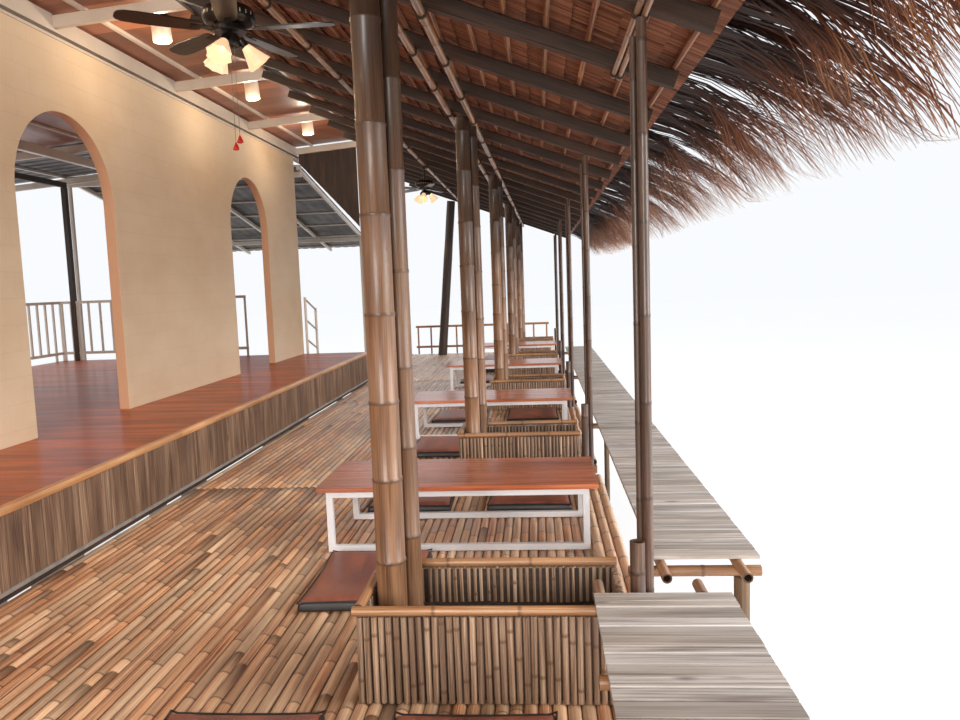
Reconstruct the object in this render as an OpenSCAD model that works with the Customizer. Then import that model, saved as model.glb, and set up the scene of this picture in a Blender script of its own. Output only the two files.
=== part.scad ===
// Riverside veranda house on stilts: a raised timber floor with an arched block wall and a steel roof
// on the land side, and a lower bamboo deck under a thatched lean-to on the river side.
// Inside this file x runs from the house towards the river with 0 at the front edge of the raised floor,
// y runs along the deck with 0 at the first row of bamboo posts, and z is height above the lowest ground.

/* [Deck] */
// Length of one bay, from post row to post row
bay = 3400; // [3000:50:3800]
// Number of bays
bays = 5; // [4:1:6]
// How far the deck runs on past the first and last post rows
deck_over = 1200; // [1100:50:1400]
// Height of the deck surface above the lowest ground
deck_z = 2800; // [2000:50:3600]
// Width of the deck from the raised floor's skirt to the river edge
deck_w = 3330; // [3300:5:3360]
// Thickness of the layer of split culms
deck_t = 30; // [20:1:40]
// Diameter of the joists under the deck
joist_d = 80; // [60:5:100]
// Joists in a bay
joists_per_bay = 5; // [4:1:7]
// Diameter of the bearers under the joists
bearer_d = 120; // [90:5:150]
// Diameter of the stilts
stilt_d = 140; // [100:5:180]
// Gap between two lengths of deck
deck_gap = 8; // [4:1:15]
// How far a deck seam lies before its post row
seam_lead = 380; // [300:10:500]
// Diameter of the whole culms along the deck edge
edge_d = 64; // [50:2:66]
// Number of whole culms along the deck edge
edge_count = 3; // [2:1:3]

/* [Raised floor] */
// Height of the raised floor above the deck
floor_h = 500; // [400:10:600]
// Depth of the raised floor from its front edge to the land side
floor_depth = 5350; // [5200:50:5500]
// Thickness of the floor boards
floor_t = 35; // [25:1:50]
// Depth of the floor joists
floor_joist_h = 120; // [90:5:150]
// Width of the floor joists
floor_joist_w = 60; // [40:5:80]
// Spacing of the floor joists
floor_joist_pitch = 600; // [400:20:700]
// Depth of the long beams under the floor joists
beam_h = 220; // [160:10:240]
// Width of the long beams
beam_w = 150; // [120:10:200]
// Side of the square columns
column_w = 220; // [180:10:300]
// Number of columns under each long beam
column_count = 4; // [3:1:6]
// Thickness of the boarded skirt
skirt_t = 22; // [15:1:30]
// Dark gap between the deck and the skirt's foot
skirt_gap = 34; // [20:2:50]
// Height of the metal strip at the skirt's foot
strip_h = 26; // [15:1:40]
// Height of the pale nosing along the floor's front edge
nosing_h = 45; // [35:1:60]
// Depth of the nosing from front to back
nosing_w = 36; // [25:1:50]
// How far the nosing stands above the boards
nosing_lip = 4; // [0:1:8]

/* [Arched wall] */
// Distance from the floor's front edge back to the wall's face
wall_back = 1100; // [900:10:1300]
// Thickness of the wall
wall_t = 100; // [90:5:150]
// Height of the wall
wall_h = 3240; // [3000:20:3400]
// Distance between the centres of neighbouring arches
arch_pitch = 4250; // [4100:10:4400]
// Number of arches
arches = 3; // [2:1:3]
// Clear width of an arch
arch_w = 1400; // [1200:10:1600]
// Height of an arch's crown above the floor
arch_h = 2640; // [2300:10:2800]
// Wall past the outer arches' half bays, at each end
wall_end = 40; // [20:10:100]
// Length of the open deck past the wall's far end
terrace_l = 4950; // [4700:50:5100]

/* [Steel roof] */
// Slope of the roof, rising towards the river, in degrees
roof_slope = 4.5; // [3:0.5:6]
// Height of the wall plate
plate_h = 80; // [60:5:100]
// How far the roof runs on past the wall's ends
roof_over = 250; // [150:10:350]
// How far the wall plate runs on past the wall's far end
plate_over = 650; // [550:10:700]
// Reach of the rafters in front of the wall's face
roof_reach = 1300; // [1200:10:1400]
// Reach of the rafters behind the middle of the rear posts
roof_back = 2450; // [2380:10:2600]
// Distance from the wall's face back to the middle of the rear posts
rear_back = 2630; // [2550:10:2700]
// Number of rafters
steel_count = 7; // [5:2:9]
// Width of a rafter
steel_w = 50; // [40:5:80]
// Depth of a rafter
steel_h = 100; // [80:5:120]
// Width of a purlin
purlin_w = 40; // [30:5:60]
// Depth of a purlin
purlin_h = 30; // [20:5:50]
// Spacing of the purlins behind the wall
purlin_pitch = 1800; // [1600:20:2000]
// Distance of the middle purlin behind the wall from the wall's face
purlin_rear = 2250; // [2200:10:2400]
// Distance of the front purlin from the wall's face
purlin_front = 270; // [200:10:400]
// Thickness of the plywood ceiling
ply_t = 12; // [9:1:18]
// Thickness of the roof sheet with its ribs
sheet_t = 25; // [20:1:40]
// How far the roof sheet reaches past the rafter ends
sheet_over = 350; // [250:10:450]
// Side of the rear posts
post_w = 80; // [60:5:100]
// Depth of the rear beam
rear_beam_h = 120; // [100:5:160]
// Depth of the dark beam on the land side
land_beam_h = 90; // [70:5:140]
// Width of that beam
land_beam_w = 60; // [50:5:80]
// Distance of the land posts from the floor's rear edge
land_in = 300; // [250:10:400]
// Diameter of a downlight
light_d = 175; // [120:5:180]
// Length of a downlight
light_l = 215; // [150:5:220]
// Distance of a downlight in front of the wall's face
light_front = 720; // [650:10:750]
// Distance of a downlight past its rafter
light_past = 410; // [380:10:500]

/* [Railings and step] */
// Height of the white railing above the floor
rail_h = 1020; // [900:10:1100]
// Side of the railing's rails
rail_w = 45; // [35:1:55]
// Side of a baluster
baluster_w = 30; // [20:1:34]
// Spacing of the balusters
baluster_pitch = 210; // [140:5:240]
// Height of the lower rail above the floor
low_rail_z = 110; // [80:5:150]
// Height of the bamboo railings at the deck's ends
end_rail_h = 650; // [550:10:800]
// Diameter of those railings' culms
end_rail_d = 50; // [40:2:60]
// Spacing of their uprights
end_rail_pitch = 300; // [200:10:400]
// Height of the step railing above the raised floor
step_rail_h = 950; // [850:10:1000]
// How far the step railing falls from its first to its second post
step_rail_drop = 200; // [150:10:250]
// Diameter of the step railing's tube
tube_d = 42; // [30:1:50]
// Length of the step railing along the deck
step_rail_l = 600; // [500:10:700]
// Width of the step at the floor's far end
step_w = 900; // [700:10:1100]
// Depth of the step
step_l = 320; // [260:10:360]

/* [Far canopy] */
// Slope of the far canopy, falling away from the house, in degrees
canopy_slope = 10.9; // [8:0.1:12]
// Distance of the canopy's top below the wall plate
canopy_drop = 148; // [140:2:180]
// Length of the canopy down its slope
canopy_l = 5900; // [5600:50:6000]
// Spacing of the canopy's rafters
canopy_pitch = 1020; // [900:10:1050]
// Number of the canopy's rafters
canopy_count = 5; // [3:2:5]
// Depth of a canopy rafter
canopy_h = 60; // [50:5:70]
// Width of a canopy rafter
canopy_w = 50; // [40:5:60]
// Spacing of the canopy's purlins
canopy_purlin_pitch = 945; // [800:5:1000]
// Side of the canopy's purlins
canopy_purlin = 25; // [20:1:30]
// Thickness of the canopy's sheet
canopy_t = 20; // [15:1:30]
// Width of the board screen under the roof's far end
screen_w = 985; // [800:5:1050]
// Height of the board screen along its inner edge
screen_h = 120; // [80:5:160]
// How far the board screen's foot falls towards the river
screen_fall = 1090; // [900:10:1200]
// Thickness of its boards
screen_t = 22; // [15:1:30]

/* [Thatched roof] */
// Slope of the thatched roof, falling towards the river, in degrees
thatch_slope = 20.5; // [19:0.5:22]
// Length of a thatch rafter
rafter_l = 3680; // [3500:10:3700]
// Depth of a thatch rafter
rafter_h = 80; // [70:5:100]
// Width of a thatch rafter
rafter_w = 75; // [60:5:90]
// Thatch rafters in a bay
rafters_per_bay = 4; // [3:1:5]
// Thickness of a batten
batten_h = 22; // [15:1:30]
// Width of a batten
batten_w = 30; // [20:1:40]
// Spacing of the battens
batten_pitch = 215; // [180:5:300]
// Thickness of the thatch
thatch_t = 120; // [90:5:130]
// How far the thatch runs on past the deck's ends
thatch_over = 100; // [50:10:200]
// How far the fringe hangs out past the rafter ends
fringe_out = 1000; // [800:10:1150]
// How far the fringe's tips hang below the rafter ends
fringe_drop = 400; // [350:10:500]
// Width of the ledger that carries the rafters' tops
ledger_w = 50; // [40:5:70]
// Depth of the ledger
ledger_h = 75; // [60:5:90]
// Side of the posts under the ledger past the steel roof
ledger_post_w = 90; // [70:5:110]

/* [Bamboo posts] */
// Distance of the first inner post from the raised floor's edge
inner_x0 = 2160; // [2100:10:2250]
// How far each inner post stands further out than the one before
inner_step = 60; // [0:5:70]
// Diameter of the inner posts
inner_d = 128; // [110:2:140]
// Diameter of the second culm beside each inner post
second_d = 100; // [80:2:110]
// Offset of the second culm towards the river
second_dx = 64; // [60:1:80]
// Offset of the second culm along the deck
second_dy = 110; // [100:1:120]
// Distance of the slim outer culm in from the deck's river edge
outer_in = 98; // [90:1:105]
// Diameter of the slim outer culm
outer_slim_d = 28; // [24:1:32]
// Diameter of the thick outer culm
outer_thick_d = 42; // [38:1:46]
// Diameter of the cut-off culm beside them
stub_d = 62; // [54:1:66]
// Height of the cut-off culm above the deck
stub_h = 577; // [450:1:600]
// Diameter of the long poles under the thatch rafters
pole_d = 46; // [40:2:60]
// Diameter of the pair of poles on the outer posts
eave_pole_d = 26; // [22:2:32]
// Distance of the middle pole from the raised floor's edge
mid_pole_x = 1280; // [1180:10:1380]
// Diameter of the stout far end post
trunk_d = 210; // [160:5:240]
// Distance of the stout far end post's foot from the raised floor's edge
trunk_x = 680; // [600:5:720]
// How far that post leans towards the river
trunk_lean = 320; // [200:10:340]

/* [Planters and counter] */
// Length of a planter along the deck
planter_l = 540; // [480:10:560]
// Offset of a planter past its post row
planter_dy = 20; // [10:5:30]
// Height of a planter's culms
planter_h = 345; // [320:5:350]
// Thickness of a planter's sides
planter_t = 24; // [18:1:26]
// Diameter of a planter's top rails
planter_rail_d = 40; // [30:1:42]
// Depth of soil in a planter
soil_h = 200; // [150:5:260]
// Height of the counter above the deck
counter_h = 420; // [415:5:480]
// Thickness of the counter's planks
plank_t = 20; // [15:1:24]
// Width of the near counter
near_w = 510; // [450:10:540]
// Width of the far counter
far_w = 440; // [400:5:480]
// Distance of the near counter's inner edge in from the deck's river edge
near_in = 300; // [290:5:310]
// Distance of the far counter's inner edge in from the deck's river edge
far_in = 18; // [0:1:20]
// Diameter of the counter's long poles
bearing_d = 45; // [40:1:48]
// Diameter of the counter's cross poles and their legs
cross_d = 50; // [40:1:52]
// How far the near counter's long poles stick out past its far end
near_out = 185; // [100:5:190]
// How far the far counter's long poles stick out before its near end
far_out = 150; // [100:5:170]

/* [Tables and cushions] */
// Length of a table
table_l = 1690; // [1500:10:1690]
// Width of a table
table_w = 730; // [600:10:760]
// Height of a table
table_h = 400; // [350:10:410]
// Thickness of a table top
table_t = 28; // [20:1:35]
// Part of a bay's spare length that lies before its first cushion
spare_share = 0.68; // [0.5:0.01:0.8]
// Side of the square tube of the table frames
frame_w = 38; // [30:1:45]
// Inset of the frame from the table's ends
frame_end = 55; // [50:5:100]
// Inset of the frame from the table's long sides
frame_side = 20; // [10:5:60]
// Length of a cushion along the deck
cushion_l = 780; // [600:10:800]
// Width of a cushion
cushion_w = 620; // [500:10:640]
// Thickness of a cushion
cushion_t = 66; // [50:1:80]
// Gap between a table and the cushions before it
cushion_near = 90; // [60:5:100]
// Gap between a table and the cushions past it
cushion_far = 60; // [40:5:100]

/* [Ceiling fans] */
// Place of the first fan along the deck
fan_y0 = 4480; // [4000:10:4900]
// Distance between the fans
fan_pitch = 7200; // [7000:10:7800]
// Radius of a fan's blades
blade_r = 560; // [500:10:600]
// Width of a blade
blade_w = 120; // [90:5:140]
// Thickness of a blade
blade_t = 8; // [6:1:12]
// Number of blades
blade_count = 5; // [4:1:5]
// Diameter of a fan's housing above the blades
housing_d = 270; // [220:5:290]
// Height of the housing
housing_h = 100; // [80:5:110]
// Diameter of the turning hub
hub_d = 170; // [150:5:190]
// Height of the turning hub
hub_h = 30; // [24:2:40]
// Length of a fan's rod above its housing
rod_l = 195; // [150:5:240]
// Diameter of the rod
rod_d = 26; // [20:1:30]
// Diameter of the lamp cup under the blades
cup_d = 100; // [90:5:105]
// Height of the lamp cup
cup_h = 70; // [60:5:80]
// Length of a lamp arm
arm_l = 57; // [56:1:80]
// Diameter of a lamp arm
arm_d = 16; // [12:1:20]
// Length of a lamp holder
holder_l = 50; // [44:1:60]
// Diameter of a lamp holder
holder_d = 46; // [42:1:47]
// Length of a tulip shade
shade_l = 110; // [90:5:125]
// Diameter of a shade's mouth
shade_d = 126; // [110:1:130]
// Thickness of a shade
shade_t = 4; // [3:0.5:5]
// Number of shades on a fan
shade_count = 3; // [2:1:3]
// Tilt of a shade away from straight down, in degrees
shade_tilt = 39; // [36:1:45]
// Length of the longer pull chain
chain_l = 490; // [400:5:520]
// Length of the shorter pull chain
chain_short_l = 455; // [380:5:480]
// Diameter of a pull chain
chain_d = 3; // [2:0.5:4]
// Width of the tag on a chain
tag_w = 34; // [30:1:40]
// Height of a tag
tag_h = 42; // [34:1:50]

/* [Hidden] */
$fn = 48;
// Hair gap where round pieces seat on others
seat = 0.3;
// Gap that a moving piece keeps
clear = 8;
// Running clearance of a shaft in its hub
running = 0.05;
// How far a cut runs past the faces it opens
cut = 1;
// Free gap beside pieces that are fitted between others
ease = 2;
// Thinness of the step railing's sloping tubes and of the low railings' uprights
thinner = 0.75;
// Heights of the step railing's sloping tubes as parts of its height
step_rail_parts = [0.97, 0.6, 0.25];
// Balusters from one railing foot to the next
foot_every = 5;

// Along the deck
rows_l = bays * bay;
deck_y0 = -deck_over;
deck_y1 = rows_l + deck_over;
wall_y1 = deck_y1 - terrace_l;
wall_len = arches * arch_pitch + 2 * wall_end;
wall_y0 = wall_y1 - wall_len;
seams = [for (i = [2 : 2 : bays - 1]) i * bay - seam_lead];
slab_starts = concat([deck_y0], [for (y = seams) y + deck_gap]);
slab_ends = concat(seams, [deck_y1]);
joist_pitch = bay / joists_per_bay;
joists_over = floor(deck_over / joist_pitch);
function row_y(i) = i * bay;

// Heights
deck_under = deck_z - deck_t;
joist_z = deck_under - joist_d / 2 - seat;
bearer_z = joist_z - joist_d / 2 - bearer_d / 2 - seat;
bearer_top = bearer_z + bearer_d / 2;
bearer_under = bearer_z - bearer_d / 2;
floor_z = deck_z + floor_h;
floor_under = floor_z - floor_t;
floor_beam_z = floor_under - floor_joist_h;
column_top = floor_beam_z - beam_h;
wall_top = floor_z + wall_h;
plate_top = wall_top + plate_h;

// Across the house
outer_x = deck_w - outer_in;
near_x = deck_w - near_in;
far_x = deck_w - far_in;
wall_x = -wall_back;
wall_rear_x = wall_x - wall_t;
rear_x = wall_x - rear_back;
rear_out_x = land_in - floor_depth;
column_in = 150;
column_xs = [-column_w / 2 - skirt_t, wall_x - wall_t / 2, rear_x, column_w / 2 - floor_depth];
bearer_in = 250;
bearer_pitch = 1500;
bearer_past = 10;
deck_bearer_xs = [bearer_in, bearer_in + bearer_pitch, outer_x + bearer_past];
land_bearer_pitch = 1750;
land_bearer_xs = [for (k = [0 : 2]) bearer_in - floor_depth + k * land_bearer_pitch];
land_stilt_dy = 300;
slab_x0 = ease - skirt_t;
toe_t = 9;

// The whole culms that edge the deck
edge_x0 = deck_w - edge_count * (edge_d + seat);
edge_z = deck_under + edge_d / 2 + seat;

// Steel roof, in a frame that starts on the wall plate's rear edge and rises towards the river
roof_z0 = plate_top + seat;
roof_u0 = -(rear_back - wall_t + roof_back) / cos(roof_slope);
roof_u1 = (wall_t + roof_reach) / cos(roof_slope);
roof_y0 = wall_y0 - roof_over;
roof_y1 = wall_y1 + roof_over;
steel_pitch = (roof_y1 - roof_y0 - steel_w) / (steel_count - 1);
rear_purlin_xs = [for (k = [-1 : 1]) wall_x - purlin_rear + k * purlin_pitch];
ceiling_w = steel_h + purlin_h;
sheet_w = ceiling_w + ply_t;
verge = 40;
blocking_t = 50;
blocking_h = 120;
plate_lip = 6;
function steel_y(k) = roof_y0 + steel_w / 2 + k * steel_pitch;
function roof_under(x) = roof_z0 + (x - wall_rear_x) * tan(roof_slope);
rear_beam_top = roof_under(rear_x - post_w / 2) - seat;
rear_beam_z = rear_beam_top - rear_beam_h;
function post_y(k) = min(max(steel_y(k), wall_y0 + post_w / 2), wall_y1 - post_w / 2);

land_beam_top = roof_under(rear_out_x - land_beam_w / 2) - seat;

// Thatched roof, in a frame that starts under the ledger and falls towards the river
ledger_in = 60;
ledger_x = wall_x + roof_reach - ledger_in;
ledger_top = roof_under(ledger_x - ledger_w / 2) - seat;
ledger_z = ledger_top - ledger_h;
rafter_past = 10;
thatch_lead = rafter_past + rafter_h * sin(thatch_slope);
thatch_x0 = ledger_x - ledger_w / 2 - thatch_lead;
thatch_z0 = ledger_z - seat - rafter_h / cos(thatch_slope) + thatch_lead * tan(thatch_slope);
function thatch_under(x) = thatch_z0 - (x - thatch_x0) * tan(thatch_slope);
rafter_pitch = bay / rafters_per_bay;
rafters_over = floor(deck_over / rafter_pitch);
rafter_count = bays * rafters_per_bay + 2 * rafters_over + 1;
function rafter_y(k) = (k - rafters_over) * rafter_pitch;
thatch_y0 = deck_y0 - thatch_over;
thatch_y1 = deck_y1 + thatch_over;
cover_in = 50;
cover_x0 = wall_x + roof_reach + cover_in;
cover_u0 = (cover_x0 - thatch_x0) / cos(thatch_slope);
cover_past = 60;
cover_u1 = rafter_l + cover_past;
batten_u1 = rafter_l - batten_w;
thatch_w0 = rafter_h + batten_h;
past_roof = ceil(roof_y1 / rafter_pitch);
ledger_post_ys = [-rafter_pitch / 2, (past_roof + 0.5) * rafter_pitch, rows_l - rafter_pitch / 2];

// Part of its reach over which the fringe's top still bends, and the shape of its tips
fringe_bend = 0.4;
tip_up = [-0.06, 0.4];
tip_back = [-0.1, 0.06];

// Post rows
line_turn = atan(inner_step / bay);
outer_turn = 34;
outer_apart = (outer_slim_d + outer_thick_d) / 2 + seat;
thick_x = outer_x + outer_apart * cos(outer_turn);
thick_dy = -outer_apart * sin(outer_turn);
stub_dx = -22;
stub_dy = -84;
slim_short = 60;
eave_pole_dx = eave_pole_d / 2 + ease / 2;
eave_pole_xs = [thick_x - eave_pole_dx, thick_x + eave_pole_dx];
eave_pole_past = 60;
eave_pole_end = row_y(1) + rafter_pitch + eave_pole_past;
pole_a_dx = inner_d / 2 + pole_d / 2 + ease;
pole_b_ease = 14;
pole_b_dx = -inner_d / 2 - pole_d / 2 - pole_b_ease;
function inner_x(i) = inner_x0 + i * inner_step;
function under_thatch(x, d) = thatch_under(x) - (d / 2 + seat) / cos(thatch_slope);

// Planters and counter
planter_gap = 12;
planter_in = 70;
planter_x1 = outer_x - planter_in;
function planter_x0(i) = inner_x(i) - inner_d / 2 - planter_gap - planter_t;
function planter_y0(i) = row_y(i) + planter_dy - planter_l / 2;
planter_rail_z = deck_z + planter_h + planter_rail_d / 2 + seat;
rail_over = 10;
counter_top = deck_z + counter_h;
counter_under = counter_top - plank_t;
bearing_z = counter_under - bearing_d / 2 - seat;
cross_z = bearing_z - bearing_d / 2 - cross_d / 2 - seat;
cross_under = cross_z - cross_d / 2 - seat;
near_y0 = 100;
near_stop = 200;
near_y1 = bay - near_stop;
far_start = 190;
far_past = 570;
far_y0 = bay + far_start;
far_y1 = (bays - 1) * bay + far_past;
bearing_in = 30;
bearing_back = 88;
near_cross_in = 400;
near_cross_back = 500;
near_cross_ys = [near_y0 + near_cross_in, near_y1 - near_cross_back];
cross_dy = 250;
cross_over = 20;
leg_in = 60;
counter_stilt_d = 70;

// Tables
table_in = 55;
near_table_in = 20;
cushion_in = 110;
group_l = cushion_l + cushion_near + table_w + cushion_far + cushion_l;
spare_l = bay - planter_l - group_l;
near_cushion_dy = planter_dy + planter_l / 2 + spare_l * spare_share;
function table_x(i) = (i == 0 ? near_x - near_table_in : outer_x - table_in) - table_l;
function table_y0(i) = row_y(i) + near_cushion_dy + cushion_l + cushion_near;

// Fans
fan_x = mid_pole_x;
fan_ys = [fan_y0, fan_y0 + fan_pitch];
mid_pole_z = under_thatch(mid_pole_x, pole_d);
fan_top = mid_pole_z - pole_d / 2 - seat;
housing_z = fan_top - rod_l - housing_h;
hub_z = housing_z - clear - hub_h;
cup_z = hub_z - clear - cup_h;
arm_z = cup_z + cup_h / 2;
rose_h = 45;
rose_d = 90;
rose_top_d = 60;
holder_up = 20;
lamp_turn = 26;
tag_top_d = 6;
chain_sides = 8;
chain_steps = 30;
// Where the two pull chains leave the first fan's lamp cup
chain_at = [6, -31];
chain_short_at = [30, -31];
shade_neck_r = 24;
shade_steps = 8;
flare = 0.38;
blade_iron_w = 40;
blade_iron_l = 60;

// Far canopy, in a frame that starts past the steel roof's end and falls away along y
canopy_gap = 5;
canopy_y0 = roof_y1 + verge + canopy_gap;
canopy_z0 = wall_top - canopy_drop;
canopy_x1 = wall_x;
canopy_beam = 80;
canopy_post_w = 50;
canopy_side = 60;
canopy_header_dy = 95;
canopy_eave_in = 120;
canopy_eave_y = deck_y1 - canopy_eave_in;
canopy_sheet_w = canopy_h + canopy_purlin;
bracket_t = 5;
function canopy_under(y) = canopy_z0 - (y - canopy_y0) * tan(canopy_slope);
function canopy_x(k) = canopy_x1 - canopy_w / 2 - k * canopy_pitch;
canopy_x0 = canopy_x(canopy_count - 1) - canopy_side;

// Board screen under the steel roof's far end
screen_in = 15;
screen_lip = 20;
screen_x0 = wall_x + screen_in;
screen_y = roof_y1 + seat;
screen_top = roof_under(screen_x0) - screen_lip;

// Whole outline, used to set the origin on the ground under its middle
x_low = wall_rear_x + (roof_u0 - verge) * cos(roof_slope) - (sheet_w + sheet_t) * sin(roof_slope);
x_high = thatch_x0 + rafter_l * cos(thatch_slope) + fringe_out;
y_low = thatch_y0;
y_high = canopy_y0 + canopy_l * cos(canopy_slope) + (canopy_sheet_w + canopy_t) * sin(canopy_slope);
x_mid = (x_low + x_high) / 2;
y_mid = (y_low + y_high) / 2;

// Puts the origin on the ground under the middle of the outline
module sited() {
    translate([-x_mid, -y_mid, 0]) children();
}

// A culm standing from z0 to z1
module upright(x, y, z0, z1, d) {
    translate([x, y, z0]) cylinder(h = z1 - z0, d = d);
}

// A log from z0 to z1 that leans by dx and is cut level at both ends
module leaning(x, y, z0, z1, dx, d) {
    angle = atan(dx / (z1 - z0));
    intersection() {
        block([x - d, y - d, z0], [x + dx + d, y + d, z1]);
        translate([x, y, z0]) rotate([0, angle, 0]) translate([0, 0, -d])
            cylinder(h = (z1 - z0) / cos(angle) + 2 * d, d = d);
    }
}

// A culm lying along y
module along_y(x, y0, y1, z, d) {
    translate([x, y0, z]) rotate([-90, 0, 0]) cylinder(h = y1 - y0, d = d);
}

// A culm lying along x
module along_x(x0, x1, y, z, d) {
    translate([x0, y, z]) rotate([0, 90, 0]) cylinder(h = x1 - x0, d = d);
}

// A block given by its lowest and highest corners
module block(a, b) {
    translate(a) cube(b - a);
}

// A square post
module post(x, y, z0, z1, w) {
    translate([x - w / 2, y - w / 2, z0]) cube([w, w, z1 - z0]);
}

// The steel roof's frame: x up the slope, z square to it
module on_roof() {
    translate([wall_rear_x, 0, roof_z0]) rotate([0, -roof_slope, 0]) children();
}

// The thatched roof's frame: x down the slope, z square to it
module on_thatch() {
    translate([thatch_x0, 0, thatch_z0]) rotate([0, thatch_slope, 0]) children();
}

// The far canopy's frame: y down the slope, z square to it
module on_canopy() {
    translate([0, canopy_y0, canopy_z0]) rotate([-canopy_slope, 0, 0]) children();
}

module deck_stilts() {
    top = bearer_under - seat;
    color("peru") sited() {
        for (i = [0 : bays], x = deck_bearer_xs) {
            upright(x, row_y(i), 0, top, stilt_d);
        }
        for (i = [bays - 1 : bays], x = land_bearer_xs) {
            upright(x, row_y(i) + land_stilt_dy, 0, top, stilt_d);
        }
        for (y = near_cross_ys) {
            upright(near_x + near_w - leg_in, y, 0, cross_under, counter_stilt_d);
        }
        for (i = [1 : bays - 1]) {
            upright(far_x + far_w - leg_in, row_y(i) + cross_dy, 0, cross_under, counter_stilt_d);
        }
    }
}

module house_columns() {
    span = wall_len - 2 * column_in - column_w;
    color("darkgray") sited() {
        for (x = column_xs, k = [0 : column_count - 1]) {
            y = wall_y0 + column_in + column_w / 2 + k * span / (column_count - 1);
            post(x, y, 0, column_top, column_w);
        }
    }
}

module house_beams() {
    color("gray") sited() {
        for (x = column_xs) {
            block([x - beam_w / 2, wall_y0, column_top], [x + beam_w / 2, wall_y1, floor_beam_z]);
        }
    }
}

module floor_joists() {
    count = floor((wall_len - floor_joist_w) / floor_joist_pitch);
    step = (wall_len - floor_joist_w) / count;
    color("sienna") sited() {
        for (k = [0 : count]) {
            y = wall_y0 + k * step;
            block([-floor_depth, y, floor_beam_z], [-nosing_w, y + floor_joist_w, floor_under]);
        }
    }
}

module raised_floor() {
    color("chocolate") sited() {
        block([-floor_depth, wall_y0, floor_under], [-nosing_w, wall_y1, floor_z]);
    }
}

module floor_nosing() {
    color("wheat") sited() {
        block([-nosing_w, wall_y0, floor_z - nosing_h], [0, wall_y1, floor_z + nosing_lip]);
    }
}

module floor_skirt() {
    z0 = deck_z + skirt_gap + strip_h;
    z1 = floor_z - nosing_h;
    color("tan") sited() {
        block([-skirt_t, wall_y0, z0], [0, wall_y1, z1]);
        block([-floor_depth - skirt_t, wall_y0, z0], [-floor_depth, wall_y1, z1]);
        block([-floor_depth, wall_y0 - skirt_t, z0], [-skirt_t - ease, wall_y0, z1]);
        block([-floor_depth, wall_y1, z0], [-skirt_t - ease, wall_y1 + skirt_t, z1]);
        block([-skirt_t, wall_y0, deck_z + seat], [toe_t - skirt_t, wall_y1, deck_z + skirt_gap - seat]);
    }
}

module skirt_strip() {
    z0 = deck_z + skirt_gap;
    color("silver") sited() {
        block([-skirt_t, wall_y0, z0], [nosing_lip, wall_y1, z0 + strip_h]);
    }
}

module deck_bearers() {
    color("peru") sited() {
        for (x = deck_bearer_xs) {
            along_y(x, deck_y0, deck_y1, bearer_z, bearer_d);
        }
        for (x = land_bearer_xs) {
            along_y(x, wall_y1 - bearer_d, deck_y1, bearer_z, bearer_d);
        }
    }
}

module deck_joists() {
    color("burlywood") sited() {
        for (k = [-joists_over : bays * joists_per_bay + joists_over - 1]) {
            y = (k + 0.5) * joist_pitch;
            x0 = y > wall_y1 ? -floor_depth : joist_d / 2;
            along_x(x0, deck_w, y, joist_z, joist_d);
        }
    }
}

module deck_floor() {
    color("sandybrown") sited() {
        for (k = [0 : len(seams)]) {
            block([slab_x0, slab_starts[k], deck_under], [edge_x0, slab_ends[k], deck_z]);
        }
        block([-floor_depth, wall_y1 + 2 * skirt_t, deck_under], [slab_x0 - deck_gap, deck_y1, deck_z]);
    }
}

module deck_edge_culms() {
    color("burlywood") sited() {
        for (k = [0 : edge_count - 1], i = [-1 : bays]) {
            x = edge_x0 + seat + edge_d / 2 + k * (edge_d + seat);
            y0 = i < 0 ? deck_y0 : planter_y0(i) + planter_l + ease;
            y1 = i == bays ? deck_y1 : planter_y0(i + 1) - ease;
            along_y(x, y0, y1, edge_z, edge_d);
        }
    }
}

// One arched opening, cut right through the wall
module arch_hole(y) {
    r = arch_w / 2;
    spring = arch_h - r;
    translate([wall_rear_x - cut, y, floor_z - cut]) {
        translate([0, -r, 0]) cube([wall_t + 2 * cut, arch_w, spring + cut]);
        translate([0, 0, spring + cut]) rotate([0, 90, 0]) cylinder(h = wall_t + 2 * cut, r = r);
    }
}

module front_wall() {
    color("antiquewhite") sited() {
        difference() {
            block([wall_rear_x, wall_y0, floor_z], [wall_x, wall_y1, wall_top]);
            for (k = [0 : arches - 1]) {
                arch_hole(wall_y0 + wall_end + (k + 0.5) * arch_pitch);
            }
        }
    }
}

module wall_plate() {
    color("white") sited() {
        block([wall_rear_x, roof_y0, wall_top], [wall_x + plate_lip, wall_y1 + plate_over, plate_top]);
        for (k = [0 : steel_count - 2]) {
            y0 = steel_y(k) + steel_w / 2 + seat;
            y1 = steel_y(k + 1) - steel_w / 2 - seat;
            block([wall_x - blocking_t, y0, plate_top + seat], [wall_x, y1, plate_top + blocking_h]);
        }
    }
}

module steel_rafters() {
    color("white") sited() on_roof() {
        for (k = [0 : steel_count - 1]) {
            block([roof_u0, steel_y(k) - steel_w / 2, 0], [roof_u1, steel_y(k) + steel_w / 2, steel_h]);
        }
    }
}

module steel_purlins() {
    color("white") sited() on_roof() {
        for (x = concat([wall_x + purlin_front], rear_purlin_xs)) {
            u = (x - wall_rear_x) / cos(roof_slope);
            block([u - purlin_w / 2, roof_y0, steel_h], [u + purlin_w / 2, roof_y1, ceiling_w]);
        }
        for (u = [roof_u0, roof_u1 - purlin_w]) {
            block([u, roof_y0, steel_h], [u + purlin_w, roof_y1, ceiling_w]);
        }
    }
}

// Plywood over the purlins; behind the wall the last bay is bare
module plywood_ceiling() {
    color("peru") sited() on_roof() {
        block([0, roof_y0, ceiling_w], [roof_u1, roof_y1, sheet_w]);
        block([roof_u0, roof_y0, ceiling_w], [-seat, steel_y(steel_count - 2), sheet_w]);
    }
}

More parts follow.
